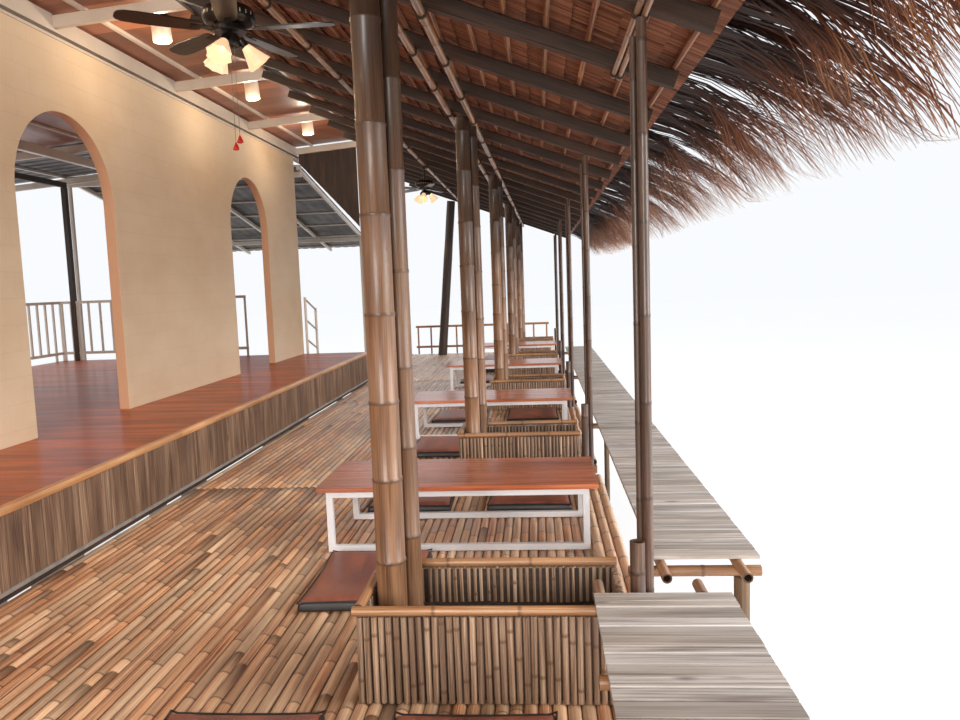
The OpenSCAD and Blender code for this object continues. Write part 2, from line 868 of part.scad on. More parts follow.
module roof_sheet() {
    color("slategray") sited() on_roof() {
        block([roof_u0 - verge, roof_y0 - verge, sheet_w],
            [roof_u1 + sheet_over, roof_y1 + verge, sheet_w + sheet_t]);
    }
}

// The rear beam on its posts, every second rafter
module rear_frame() {
    color("white") sited() {
        block([rear_x - post_w / 2, roof_y0, rear_beam_z], [rear_x + post_w / 2, roof_y1, rear_beam_top]);
        for (k = [0 : 2 : steel_count - 1]) {
            post(rear_x, post_y(k), floor_z, rear_beam_z - seat, post_w);
        }
    }
}

// The dark posts and beam under the rafters on the land side
module land_posts() {
    z0 = land_beam_top - land_beam_h;
    b = land_beam_w / 2;
    color("sienna") sited() {
        block([rear_out_x - b, wall_y0, z0], [rear_out_x + b, wall_y1, land_beam_top]);
        for (k = [0 : 2 : steel_count - 1]) {
            post(rear_out_x, post_y(k), floor_z, z0 - seat, post_w);
        }
    }
}

// A straight railing of the given length along x, standing on z = 0
module railing(length) {
    count = max(1, round(length / baluster_pitch));
    step = (length - baluster_w) / count;
    translate([0, -rail_w / 2, rail_h - rail_w]) cube([length, rail_w, rail_w]);
    translate([0, -rail_w / 2, low_rail_z]) cube([length, rail_w, rail_w]);
    for (k = [0 : count]) {
        z0 = k % foot_every == 0 || k == count ? 0 : low_rail_z + rail_w / 2;
        translate([k * step, -baluster_w / 2, z0]) cube([baluster_w, baluster_w, rail_h - rail_w / 2 - z0]);
    }
}

module white_railing() {
    back_x = rail_w - floor_depth;
    ends = [wall_y0 + rail_w, wall_y1 - rail_w];
    color("white") sited() {
        translate([back_x, ends[0] - rail_w / 2, floor_z]) rotate([0, 0, 90])
            railing(ends[1] - ends[0] + rail_w);
        for (y = ends) {
            side_x = back_x + rail_w / 2 + seat;
            translate([side_x, y, floor_z]) railing(rear_out_x - post_w / 2 - side_x);
            translate([rear_out_x + post_w / 2, y, floor_z]) railing(rear_x - rear_out_x - post_w);
        }
        translate([rear_x + post_w / 2, ends[0], floor_z]) railing(wall_rear_x - rear_x - post_w / 2);
        translate([rear_x + post_w / 2, ends[1], floor_z]) railing(wall_x - step_w - rear_x - post_w);
    }
}

// A straight tube between two points with the same x
module tube_between(a, b, d) {
    dy = b[1] - a[1];
    dz = b[2] - a[2];
    translate(a) rotate([atan2(dz, dy) - 90, 0, 0]) cylinder(h = sqrt(dy * dy + dz * dz), d = d);
}

module step_railing() {
    x = wall_x + tube_d;
    y0 = wall_y1 + skirt_t + tube_d + ease;
    y1 = y0 + step_rail_l;
    color("white") sited() {
        upright(x, y0, deck_z, floor_z + step_rail_h, tube_d);
        upright(x, y1, deck_z, floor_z + step_rail_h - step_rail_drop, tube_d);
        for (part = step_rail_parts) {
            z = floor_z + step_rail_h * part;
            tube_between([x, y0, z], [x, y1, z - step_rail_drop], tube_d * thinner);
        }
    }
}

// One open-bottomed step of boards
module end_step() {
    y0 = wall_y1 + skirt_t;
    y1 = y0 + step_l;
    z1 = deck_z + floor_h / 2;
    color("sienna") sited() {
        difference() {
            block([wall_x - step_w, y0, deck_z], [wall_x, y1, z1]);
            block([wall_x - step_w + floor_t, y0 - cut, deck_z - cut],
                [wall_x - floor_t, y1 - floor_t, z1 - floor_t]);
        }
    }
}

// A low bamboo railing across one end of the deck
module low_railing(x0, x1, y) {
    count = round((x1 - x0) / end_rail_pitch);
    top = deck_z + end_rail_h - end_rail_d / 2;
    along_x(x0, x1, y, top, end_rail_d);
    along_x(x0, x1, y, deck_z + end_rail_h / 4, end_rail_d);
    step = (x1 - x0 - 2 * end_rail_d) / count;
    for (k = [0 : count]) {
        upright(x0 + end_rail_d + k * step, y, deck_z, top, end_rail_d * thinner);
    }
}

module end_railing() {
    color("burlywood") sited() {
        low_railing(end_rail_d, near_x - 2 * end_rail_d, deck_y0 + end_rail_d);
        low_railing(end_rail_d, edge_x0 - end_rail_d, deck_y1 - end_rail_d);
    }
}

// The far canopy's rafters and purlins with the frames that carry them
module canopy_frame() {
    count = floor(canopy_l / canopy_purlin_pitch);
    header_y = canopy_y0 + canopy_header_dy;
    b = canopy_beam / 2;
    header_top = canopy_under(header_y + b) - seat;
    eave_top = canopy_under(canopy_eave_y + b) - seat;
    color("white") sited() {
        on_canopy() {
            for (k = [0 : canopy_count - 1]) {
                x = canopy_x(k);
                block([x - canopy_w / 2, 0, 0], [x + canopy_w / 2, canopy_l, canopy_h]);
            }
            for (k = [0 : count]) {
                y = k * canopy_purlin_pitch;
                block([canopy_x0, y, canopy_h + seat], [canopy_x1, y + canopy_purlin, canopy_sheet_w]);
            }
        }
        header_z = header_top - canopy_beam;
        eave_z = eave_top - canopy_beam;
        block([canopy_x0, header_y - b, header_z], [canopy_x1, header_y + b, header_top]);
        block([canopy_x0, canopy_eave_y - b, eave_z], [canopy_x1, canopy_eave_y + b, eave_top]);
        block([canopy_x1 + seat, header_y - b, header_z], [canopy_x1 + bracket_t, header_y + b, wall_top]);
        for (k = [2 : 2 : canopy_count - 1]) {
            post(canopy_x(k), header_y, deck_z, header_z - seat, canopy_post_w);
        }
        for (k = [0 : 2 : canopy_count - 1]) {
            post(canopy_x(k), canopy_eave_y, deck_z, eave_z - seat, canopy_post_w);
        }
    }
}

module canopy_sheet() {
    color("dimgray") sited() on_canopy() {
        block([canopy_x0, 0, canopy_sheet_w], [canopy_x1, canopy_l, canopy_sheet_w + canopy_t]);
    }
}

// Boards that close the roof's far end, hung on the last rafter
module board_screen() {
    x1 = screen_x0 + screen_w;
    rise = screen_w * tan(roof_slope);
    color("saddlebrown") sited() {
        translate([0, screen_y + screen_t, 0]) rotate([90, 0, 0]) linear_extrude(screen_t)
            polygon([
                [screen_x0, screen_top - screen_h],
                [x1, screen_top - screen_h - screen_fall],
                [x1, screen_top + rise + steel_h],
                [screen_x0, screen_top + steel_h]
            ]);
    }
}

module inner_posts() {
    color("peru") sited() {
        for (i = [0 : bays]) {
            x = inner_x(i);
            x2 = x + second_dx;
            y2 = row_y(i) + second_dy;
            pole_top = under_thatch(x + pole_a_dx + y2_drift(), pole_d);
            upright(x, row_y(i), deck_z, thatch_under(x + inner_d / 2) - seat, inner_d);
            upright(x2, y2, deck_z, pole_top - pole_d / 2 - seat, second_d);
        }
    }
}

// How far the pole line moves out between a post row and its second culm
function y2_drift() = second_dy * tan(line_turn);

module outer_posts() {
    z0 = bearer_top + seat;
    under_poles = under_thatch(eave_pole_xs[1], eave_pole_d) - eave_pole_d / 2 - seat;
    under_rafters = thatch_under(thick_x + outer_thick_d / 2) - seat;
    color("sienna") sited() {
        for (i = [0 : bays]) {
            thick_top = row_y(i) < eave_pole_end ? under_poles : under_rafters;
            slim_top = thick_top - slim_short;
            upright(outer_x, row_y(i), z0, slim_top, outer_slim_d);
            upright(thick_x, row_y(i) + thick_dy, z0, thick_top, outer_thick_d);
            upright(outer_x + stub_dx, row_y(i) + stub_dy, z0, deck_z + stub_h, stub_d);
        }
    }
}

module end_posts() {
    color("sienna") sited() {
        for (y = ledger_post_ys) {
            post(ledger_x, y, deck_z, ledger_z, ledger_post_w);
        }
        trunk_y = rafter_y(rafter_count - 1);
        trunk_top = thatch_under(trunk_x + trunk_lean + trunk_d / 2) - seat;
        leaning(trunk_x, trunk_y, deck_z, trunk_top, trunk_lean, trunk_d);
    }
}

// A long pole under the rafters that keeps beside the slightly turned line of inner posts
module pole_line(dx) {
    x0 = inner_x(0) + dx + thatch_y0 * tan(line_turn);
    x1 = inner_x(0) + dx + thatch_y1 * tan(line_turn);
    a = [x0, thatch_y0, under_thatch(x0, pole_d)];
    b = [x1, thatch_y1, under_thatch(x1, pole_d)];
    v = b - a;
    translate(a) rotate([0, acos(v[2] / norm(v)), atan2(v[1], v[0])]) cylinder(h = norm(v), d = pole_d);
}

module lashed_poles() {
    color("peru") sited() {
        along_y(mid_pole_x, thatch_y0, thatch_y1, mid_pole_z, pole_d);
        pole_line(pole_a_dx);
        pole_line(pole_b_dx);
        for (x = eave_pole_xs) {
            along_y(x, thatch_y0, eave_pole_end, under_thatch(x, eave_pole_d), eave_pole_d);
        }
    }
}

module thatch_ledger() {
    color("saddlebrown") sited() {
        x0 = ledger_x - ledger_w / 2;
        block([x0, thatch_y0, ledger_z], [x0 + ledger_w, thatch_y1, ledger_top]);
    }
}

module thatch_rafters() {
    color("saddlebrown") sited() on_thatch() {
        for (k = [0 : rafter_count - 1]) {
            block([0, rafter_y(k) - rafter_w / 2, 0], [rafter_l, rafter_y(k) + rafter_w / 2, rafter_h]);
        }
    }
}

module thatch_battens() {
    color("burlywood") sited() on_thatch() {
        for (u = [batten_u1 : -batten_pitch : cover_u0 + batten_w]) {
            block([u - batten_w / 2, thatch_y0, rafter_h], [u + batten_w / 2, thatch_y1, thatch_w0]);
        }
    }
}

module thatch_cover() {
    color("darkkhaki") sited() on_thatch() {
        block([cover_u0, thatch_y0, thatch_w0], [cover_u1, thatch_y1, thatch_w0 + thatch_t]);
    }
}

module thatch_fringe() {
    c = cos(thatch_slope);
    s = sin(thatch_slope);
    u = cover_u1 + seat;
    root = [u * c + thatch_w0 * s, thatch_w0 * c - u * s];
    top = root + [thatch_t * s, thatch_t * c];
    tip = [rafter_l * c + fringe_out, -rafter_l * s - fringe_drop];
    bend = [fringe_out, -fringe_drop] * fringe_bend;
    color("darkkhaki") sited() {
        translate([thatch_x0, thatch_y1, thatch_z0]) rotate([90, 0, 0]) linear_extrude(thatch_y1 - thatch_y0)
            polygon([
                root,
                top,
                top + bend,
                tip + [fringe_out * tip_up[0], fringe_drop * tip_up[1]],
                tip,
                tip + [fringe_out * tip_back[0], fringe_drop * tip_back[1]]
            ]);
    }
}

module planter_boxes() {
    color("peru") sited() {
        for (i = [0 : bays]) {
            y0 = planter_y0(i);
            difference() {
                block([planter_x0(i), y0, deck_z], [planter_x1, y0 + planter_l, deck_z + planter_h]);
                block([planter_x0(i) + planter_t, y0 + planter_t, deck_z + soil_h],
                    [planter_x1 - planter_t, y0 + planter_l - planter_t, deck_z + planter_h + cut]);
                upright(inner_x(i), row_y(i), deck_z - cut, deck_z + planter_h, inner_d + 2 * seat);
                translate([second_dx, second_dy, 0])
                    upright(inner_x(i), row_y(i), deck_z - cut, deck_z + planter_h, second_d + 2 * seat);
            }
        }
    }
}

// River end of a planter's rail: it stops against the near counter's pole where it would pass under
// the planks
function under_near(y) = y > near_y0 - planter_rail_d && y < near_y1 + near_out + planter_rail_d;
function rail_x1(y) = under_near(y) ? near_x + bearing_in - bearing_d / 2 - ease : planter_x1;

module planter_rails() {
    color("burlywood") sited() {
        for (i = [0 : bays]) {
            mid = row_y(i) + planter_dy;
            side = planter_l / 2 - planter_t / 2;
            for (y = [mid - side, mid + side]) {
                along_x(planter_x0(i) - rail_over, rail_x1(y), y, planter_rail_z, planter_rail_d);
            }
            x = planter_x0(i) + planter_t / 2 - ease;
            gap = side - planter_rail_d / 2 - seat;
            along_y(x, mid - gap, mid + gap, planter_rail_z, planter_rail_d);
        }
    }
}

module counter_planks() {
    color("linen") sited() {
        block([near_x, near_y0, counter_under], [near_x + near_w, near_y1, counter_top]);
        block([far_x, far_y0, counter_under], [far_x + far_w, far_y1, counter_top]);
    }
}

module counter_poles() {
    color("burlywood") sited() {
        for (x = [near_x + bearing_in, near_x + near_w - bearing_back]) {
            along_y(x, near_y0, near_y1 + near_out, bearing_z, bearing_d);
        }
        for (x = [far_x + bearing_in, far_x + far_w - bearing_back]) {
            along_y(x, far_y0 - far_out, far_y1, bearing_z, bearing_d);
        }
        for (y = near_cross_ys) {
            along_x(near_x - cross_over, near_x + near_w + cross_over, y, cross_z, cross_d);
            upright(near_x + leg_in, y, deck_z, cross_under, cross_d);
        }
        for (i = [1 : bays - 1]) {
            y = row_y(i) + cross_dy;
            along_x(outer_x - cross_over, far_x + far_w + cross_over, y, cross_z, cross_d);
            upright(outer_x + cross_over, y, bearer_top + seat, cross_under, cross_d);
        }
    }
}

module table_tops() {
    color("chocolate") sited() {
        for (i = [0 : bays - 1]) {
            translate([table_x(i), table_y0(i), deck_z + table_h - table_t])
                cube([table_l, table_w, table_t]);
        }
    }
}

// Two square-tube loops along a table's long sides, joined under its top
module table_frame() {
    h = table_h - table_t;
    l = table_l - 2 * frame_end;
    w = table_w - 2 * frame_side;
    for (y = [frame_side, frame_side + w - frame_w]) {
        translate([frame_end, y, 0]) difference() {
            cube([l, frame_w, h]);
            translate([frame_w, -cut, frame_w]) cube([l - 2 * frame_w, frame_w + 2 * cut, h - 2 * frame_w]);
        }
    }
    for (x = [frame_end, frame_end + l - frame_w]) {
        translate([x, frame_side + frame_w - cut, h - frame_w])
            cube([frame_w, w - 2 * frame_w + 2 * cut, frame_w]);
    }
}

module table_frames() {
    color("white") sited() {
        for (i = [0 : bays - 1]) {
            translate([table_x(i), table_y0(i), deck_z]) table_frame();
        }
    }
}

module floor_cushions() {
    near_dy = -cushion_near - cushion_l;
    far_dy = table_w + cushion_far;
    right_dx = table_l - cushion_in - cushion_w;
    color("saddlebrown") sited() {
        for (i = [0 : bays - 1], p = [[cushion_in, near_dy], [cushion_in, far_dy], [right_dx, far_dy]]) {
            translate([table_x(i) + p[0], table_y0(i) + p[1], deck_z])
                cube([cushion_w, cushion_l, cushion_t]);
        }
    }
}

module downlights() {
    u = (light_front + wall_t) / cos(roof_slope);
    color("gainsboro") sited() on_roof() {
        for (k = [0 : steel_count - 2]) {
            translate([u, steel_y(k) + light_past, ceiling_w - light_l]) cylinder(h = light_l, d = light_d);
        }
    }
}

// Radius of a shade's outline at a part of its length, from its neck to its flared mouth
function shade_flare(t) = (1 - flare) * sin(t * 90) + flare * t * t;
function shade_r(t) = shade_neck_r + (shade_d / 2 - shade_neck_r) * shade_flare(t);

module shade() {
    down = [for (k = [0 : shade_steps]) k / shade_steps];
    up = [for (k = [shade_steps : -1 : 0]) k / shade_steps];
    outer = [for (t = down) [shade_r(t), -shade_l * t]];
    inner = [for (t = up) [shade_r(t) - shade_t, -shade_l * t]];
    rotate_extrude() polygon(concat(outer, inner));
}

// Places something along each lamp arm of the fan at y
module at_arms(y) {
    for (k = [0 : shade_count - 1]) {
        translate([fan_x, y, arm_z]) rotate([0, 0, k * 360 / shade_count + lamp_turn]) children();
    }
}

// Places something on the outward tilted lamp axes of the fan at y
module at_lamps(y) {
    at_arms(y) translate([arm_l, 0, 0]) rotate([0, -shade_tilt, 0]) children();
}

module fan_mount(y) {
    translate([fan_x, y, 0]) {
        translate([0, 0, fan_top - rose_h]) cylinder(h = rose_h, d1 = rose_top_d, d2 = rose_d);
        translate([0, 0, cup_z]) cylinder(h = fan_top - rose_h + cut - cup_z, d = rod_d);
        translate([0, 0, housing_z]) cylinder(h = housing_h, d = housing_d);
        translate([0, 0, cup_z]) cylinder(h = cup_h, d = cup_d);
    }
    at_arms(y) rotate([0, 90, 0]) cylinder(h = arm_l, d = arm_d);
    at_lamps(y) translate([0, 0, holder_up - holder_l]) cylinder(h = holder_l, d = holder_d);
}

module fan_mounts() {
    color("dimgray") sited() {
        for (y = fan_ys) {
            fan_mount(y);
        }
    }
}

module fan_shades() {
    color("navajowhite") sited() {
        for (y = fan_ys) {
            at_lamps(y) translate([0, 0, holder_up - holder_l]) shade();
        }
    }
}

// Hub and blades of one fan, around its rod
module fan_rotor(y) {
    iron_x = hub_d / 2 - blade_iron_w / 2;
    blade_x = hub_d / 2 + blade_iron_l;
    color("saddlebrown") sited() translate([fan_x, y, hub_z]) difference() {
        union() {
            cylinder(h = hub_h, d = hub_d);
            for (k = [0 : blade_count - 1]) {
                rotate([0, 0, k * 360 / blade_count]) {
                    translate([iron_x, -blade_iron_w / 2, hub_h / 2 - blade_t / 4])
                        cube([blade_x + blade_iron_w - iron_x, blade_iron_w, blade_t / 2]);
                    translate([blade_x, -blade_w / 2, hub_h / 2 - blade_t / 2])
                        cube([blade_r - blade_x, blade_w, blade_t]);
                }
            }
        }
        translate([0, 0, -cut]) cylinder(h = hub_h + 2 * cut, d = rod_d + 2 * running);
    }
}

// Corners of a cord's ring round a point
function cord_ring(p, d) = [
    for (k = [0 : chain_sides - 1]) p + d / 2 * [cos(k * 360 / chain_sides), sin(k * 360 / chain_sides), 0]
];

// A hanging cord swept down its points
module cord(points, d) {
    last = (len(points) - 1) * chain_sides;
    rings = [for (p = points) each cord_ring(p, d)];
    sides = [
        for (i = [0 : len(points) - 2], k = [0 : chain_sides - 1])
            let (a = i * chain_sides + k, b = i * chain_sides + (k + 1) % chain_sides)
                [a, b, b + chain_sides, a + chain_sides]
    ];
    top = [for (k = [chain_sides - 1 : -1 : 0]) k];
    foot = [for (k = [0 : chain_sides - 1]) last + k];
    polyhedron(rings, concat(sides, [top, foot]));
}

// A pull chain of the first fan, hanging from a place under its lamp cup
module pull_chain(at, l) {
    points = [for (k = [0 : chain_steps]) [at[0], at[1], -l * k / chain_steps]];
    color("silver") sited() translate([fan_x, fan_ys[0], cup_z]) cord(points, chain_d);
}

module pull_chain_long() {
    pull_chain(chain_at, chain_l);
}

module pull_chain_short() {
    pull_chain(chain_short_at, chain_short_l);
}

module chain_tag(at, l) {
    r = tag_w / 2;
    side = [[0, 0], [tag_top_d / 2, 0], [r, -0.75 * tag_h], [0.8 * r, -0.95 * tag_h], [0, -tag_h]];
    translate([fan_x + at[0], fan_ys[0] + at[1], cup_z - l]) rotate_extrude() polygon(side);
}

module chain_tags() {
    color("red") sited() {
        chain_tag(chain_at, chain_l);
        chain_tag(chain_short_at, chain_short_l);
    }
}

module fan_rotor_near() {
    fan_rotor(fan_ys[0]);
}

module fan_rotor_far() {
    fan_rotor(fan_ys[1]);
}

deck_stilts();
house_columns();
house_beams();
floor_joists();
raised_floor();
floor_nosing();
floor_skirt();
skirt_strip();
deck_bearers();
deck_joists();
deck_floor();
deck_edge_culms();
front_wall();
wall_plate();
steel_rafters();
steel_purlins();
plywood_ceiling();
roof_sheet();
rear_frame();
land_posts();
white_railing();
step_railing();
end_step();
end_railing();
canopy_frame();
canopy_sheet();
board_screen();
inner_posts();
outer_posts();
end_posts();
lashed_poles();
thatch_ledger();
thatch_rafters();
thatch_battens();
thatch_cover();
thatch_fringe();
planter_boxes();
planter_rails();
counter_planks();
counter_poles();
table_tops();
table_frames();
floor_cushions();
downlights();
fan_mounts();
fan_shades();
pull_chain_long();
pull_chain_short();
chain_tags();
fan_rotor_near();
fan_rotor_far();
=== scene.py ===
"""The looks of the riverside stilt house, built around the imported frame."""
import math
import random

import bpy
import numpy as np
from mathutils import Matrix, Vector, noise


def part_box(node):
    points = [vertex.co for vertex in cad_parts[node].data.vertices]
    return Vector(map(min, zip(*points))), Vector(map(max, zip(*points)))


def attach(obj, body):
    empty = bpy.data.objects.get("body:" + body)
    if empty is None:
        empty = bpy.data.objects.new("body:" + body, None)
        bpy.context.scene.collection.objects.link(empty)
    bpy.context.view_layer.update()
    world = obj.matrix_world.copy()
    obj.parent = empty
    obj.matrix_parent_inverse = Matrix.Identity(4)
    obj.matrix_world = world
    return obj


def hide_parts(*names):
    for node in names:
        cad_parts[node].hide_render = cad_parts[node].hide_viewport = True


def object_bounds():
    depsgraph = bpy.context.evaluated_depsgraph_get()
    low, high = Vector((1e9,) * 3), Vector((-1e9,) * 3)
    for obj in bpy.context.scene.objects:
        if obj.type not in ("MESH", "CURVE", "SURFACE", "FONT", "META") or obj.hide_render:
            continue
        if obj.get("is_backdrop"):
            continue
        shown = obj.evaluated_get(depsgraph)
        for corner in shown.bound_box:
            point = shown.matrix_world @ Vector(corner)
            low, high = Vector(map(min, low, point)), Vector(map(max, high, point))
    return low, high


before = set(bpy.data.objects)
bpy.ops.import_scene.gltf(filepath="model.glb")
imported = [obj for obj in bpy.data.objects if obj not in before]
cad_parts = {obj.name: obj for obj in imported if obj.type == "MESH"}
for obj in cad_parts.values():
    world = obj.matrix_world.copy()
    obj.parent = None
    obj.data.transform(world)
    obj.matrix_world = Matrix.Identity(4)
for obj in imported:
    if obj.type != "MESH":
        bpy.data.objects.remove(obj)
cad_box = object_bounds()
rng = random.Random(11)
HOUSE = "house"
X = Vector((1, 0, 0))
Y = Vector((0, 1, 0))
Z = Vector((0, 0, 1))
TURN = 2 * math.pi


# Places in the row frame, worked out from the frame's own boxes

EDGE_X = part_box("floor_nosing")[1].x
INNER_R = 0.064
ROW_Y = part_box("inner_posts")[0].y + INNER_R


def local(x, y, z):
    """A point given in metres from the raised floor's edge, the first post row and the ground."""
    return Vector((EDGE_X + x, ROW_Y + y, z))


def solids(node):
    """The separate solids of a CAD node, each as an array of its corners, in order along the deck."""
    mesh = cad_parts[node].data
    spots = {}
    index = []
    for v in mesh.vertices:
        index.append(spots.setdefault(tuple(round(c, 5) for c in v.co), len(spots)))
    parent = list(range(len(spots)))

    def root(i):
        """The point that stands for all points joined to this one."""
        while parent[i] != i:
            parent[i] = parent[parent[i]]
            i = parent[i]
        return i

    for edge in mesh.edges:
        parent[root(index[edge.vertices[0]])] = root(index[edge.vertices[1]])
    groups = {}
    for spot, i in spots.items():
        groups.setdefault(root(i), []).append(spot)
    found = [np.array(g) for g in groups.values()]
    return sorted(found, key=lambda g: (round(g[:, 1].mean(), 3), round(g[:, 0].mean(), 3)))


def oriented(points):
    """Centre, three axes and three half sizes of a bar or culm, the longest first."""
    centre = (points.max(0) + points.min(0)) / 2
    away = points - points.mean(0)
    axes = np.linalg.svd(away, full_matrices=False)[2]
    reach = away @ axes.T
    half = (reach.max(0) - reach.min(0)) / 2
    order = np.argsort(-half)
    return Vector(centre), [Vector(axes[i]) for i in order], [float(half[i]) for i in order]


def ends(points):
    """Two end points and the half sizes across a bar or culm; the first end is the lower or nearer one."""
    centre, axes, half = oriented(points)
    along = axes[0] if axes[0].dot(Vector((1, 1, 1))) > 0 else -axes[0]
    return centre - along * half[0], centre + along * half[0], half[1], half[2]


def box_of(points):
    """Lowest and highest corner of a solid."""
    return Vector(points.min(0)), Vector(points.max(0))


def middle_run(lo, hi, start=None, end=None):
    """Two points on a box's middle line along the deck, from end to end unless told where."""
    mid = (lo + hi) / 2
    a = Vector((mid.x, lo.y if start is None else start, mid.z))
    return a, Vector((a.x, hi.y if end is None else end, a.z))


def half_along(points, centre, axis):
    """How far a solid reaches from its centre along an axis."""
    return max(abs((Vector(p) - centre).dot(axis)) for p in points)


def farthest(points, centre, axis):
    """How far a solid reaches from a point in an axis's own direction."""
    return max((Vector(p) - centre).dot(axis) for p in points)


def between(side, up, angle):
    """The unit vector at an angle from side towards up."""
    return side * math.cos(angle) + up * math.sin(angle)


# Meshes

class Shape:
    """Points and faces of one piece, with the grain that its material reads."""

    def __init__(self):
        """Starts empty."""
        self.points = []
        self.faces = []
        self.mats = []
        self.grain = []
        self.rings = []

    def add(self, points, faces, grain, rings=None, mat=0):
        """Adds points and faces; grain holds (across, along, tint) of each point."""
        start = len(self.points)
        self.points.extend(points)
        self.faces.extend(tuple(start + i for i in face) for face in faces)
        self.mats.extend([mat] * len(faces))
        self.grain.extend(grain)
        self.rings.extend(rings or [0.0] * len(points))


def band(rows, n, closed=False):
    """Faces between rows of n points each; closed also joins the last row to the first."""
    last = rows if closed else rows - 1
    return [(s * n + k, s * n + (k + 1) % n, (s + 1) % rows * n + (k + 1) % n, (s + 1) % rows * n + k)
            for s in range(last) for k in range(n)]


def lids(rows, n):
    """The two faces that close the ends of such a band."""
    return [tuple(reversed(range(n))), tuple(range((rows - 1) * n, rows * n))]


def piece(name, shape, materials, nodes=(), body=HOUSE, angle=38):
    """Makes a shape into an object that rides on a body and may stand for CAD nodes."""
    mesh = bpy.data.meshes.new(name)
    mesh.from_pydata(shape.points, [], shape.faces)
    mesh.attributes.new("grain", "FLOAT_VECTOR", "POINT").data.foreach_set("vector", np.ravel(shape.grain))
    mesh.attributes.new("ring", "FLOAT", "POINT").data.foreach_set("value", shape.rings)
    for material in materials:
        mesh.materials.append(material)
    mesh.polygons.foreach_set("material_index", shape.mats)
    mesh.shade_smooth()
    mesh.set_sharp_from_angle(angle=math.radians(angle))
    mesh.update()
    obj = bpy.data.objects.new(name, mesh)
    bpy.context.scene.collection.objects.link(obj)
    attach(obj, body)
    if nodes:
        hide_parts(*nodes)
    return obj


def frame_of(a, b, up=Z):
    """Unit vectors along, beside and above a run from a to b."""
    along = (b - a).normalized()
    if abs(along.dot(up)) > 0.99:
        up = X
    beside = along.cross(up).normalized()
    return along, beside, beside.cross(along).normalized()


def tube(shape, sections, sides, tint, mat=0, caps=(True, True)):
    """Rings joined into a tube; a section is (centre, side, up, radius, distance along, ring)."""
    points = []
    grain = []
    rings = []
    for centre, side, up, radius, along, ring in sections:
        for k in range(sides):
            points.append(centre + between(side, up, TURN * k / sides) * radius)
            grain.append((radius * TURN * k / sides, along, tint))
            rings.append(ring)
    ends_on = [lid for lid, wanted in zip(lids(len(sections), sides), caps) if wanted]
    shape.add(points, band(len(sections), sides) + ends_on, grain, rings, mat)


POINT_R = 0.001
NODE_W = 0.011
NODE_RISE = 1.045
CULM_WALL = 0.72
CULM_DEPTH = 0.06


def culm(shape, a, b, radius, spacing=0.3, sides=12, taper=0.0, bend=0.0, hollow=(False, False)):
    """A bamboo culm with raised rings at its nodes, an optional bend and open ends."""
    along, side, up = frame_of(a, b)
    length = (b - a).length
    tint = rng.random()
    out = between(side, up, rng.uniform(0, TURN))

    def at(s, scale=1.0, ring=0.0):
        """The section at a distance along the culm."""
        t = s / length
        centre = a + along * s + out * bend * math.sin(math.pi * t)
        return centre, side, up, radius * (1 - taper * t) * scale, s, ring

    sections = [at(0)]
    s = rng.uniform(0.15, 1.0) * spacing
    while s < length - 2 * NODE_W:
        if s > 2 * NODE_W:
            sections += [at(s - NODE_W), at(s - NODE_W / 3, NODE_RISE, 1), at(s + NODE_W / 3, NODE_RISE, 0.7)]
            sections.append(at(s + NODE_W, 0.985))
        s += spacing * rng.uniform(0.85, 1.15)
    sections.append(at(length))
    inner = []
    for end, is_open in ((0, hollow[0]), (length, hollow[1])):
        if is_open:
            step = CULM_DEPTH if end == 0 else -CULM_DEPTH
            # Ring 1 at the bottom of the bore paints shade deep inside the open end.
            inner.append([at(end), at(end, CULM_WALL), at(end + step, CULM_WALL, 1)])
    tube(shape, sections, sides, tint, caps=(not hollow[0], not hollow[1]))
    for rows in inner:
        tube(shape, rows, sides, tint, mat=1, caps=(False, True))


def extrude(shape, outline, a, b, side, up, tint=None, mat=0, caps=True, across=0):
    """A closed outline of (beside, above) points run from a to b."""
    tint = rng.random() if tint is None else tint
    n = len(outline)
    length = (b - a).length
    points = []
    grain = []
    for end, along in ((a, 0.0), (b, length)):
        for p in outline:
            points.append(end + side * p[0] + up * p[1])
            grain.append((p[across] + p[1 - across] * 0.3, along, tint))
    shape.add(points, band(2, n) + (lids(2, n) if caps else []), grain, None, mat)


def plank_outline(width, height, chamfer):
    """A rectangle about the middle with cut corners."""
    w = width / 2
    h = height / 2
    c = min(chamfer, w * 0.8, h * 0.8)
    right = [(w - c, -h), (w, -h + c), (w, h - c), (w - c, h)]
    return [(-w + c, -h)] + right + [(-w + c, h), (-w, h - c), (-w, -h + c)]


def bar(shape, a, b, width, height, chamfer=0.003, up=Z, tint=None, mat=0):
    """A board or bar with eased edges between two points."""
    side, above = frame_of(a, b, up)[1:]
    extrude(shape, plank_outline(width, height, chamfer), a, b, side, above, tint, mat)


def boards(shape, lo, hi, run, across, width, gap, chamfer=0.002, spread=0.0, sink=0.0):
    """Fills a box with boards that run along one axis (0, 1 or 2), side by side along another."""
    deep = 3 - run - across
    count = max(1, round((hi[across] - lo[across]) / width))
    cuts = [lo[across] + (hi[across] - lo[across]) * k / count for k in range(count + 1)]
    for k in range(1, count):
        cuts[k] += rng.uniform(-spread, spread) * width
    for k in range(count):
        a = Vector(lo)
        a[across] = (cuts[k] + cuts[k + 1]) / 2
        drop = rng.uniform(0, sink)
        a[deep] = (lo[deep] + hi[deep]) / 2 - drop / 2
        b = a.copy()
        a[run] = lo[run]
        b[run] = hi[run]
        up = [X, Y, Z][deep]
        w = cuts[k + 1] - cuts[k] - gap
        bar(shape, a, b, w, hi[deep] - lo[deep] - drop, chamfer, up)


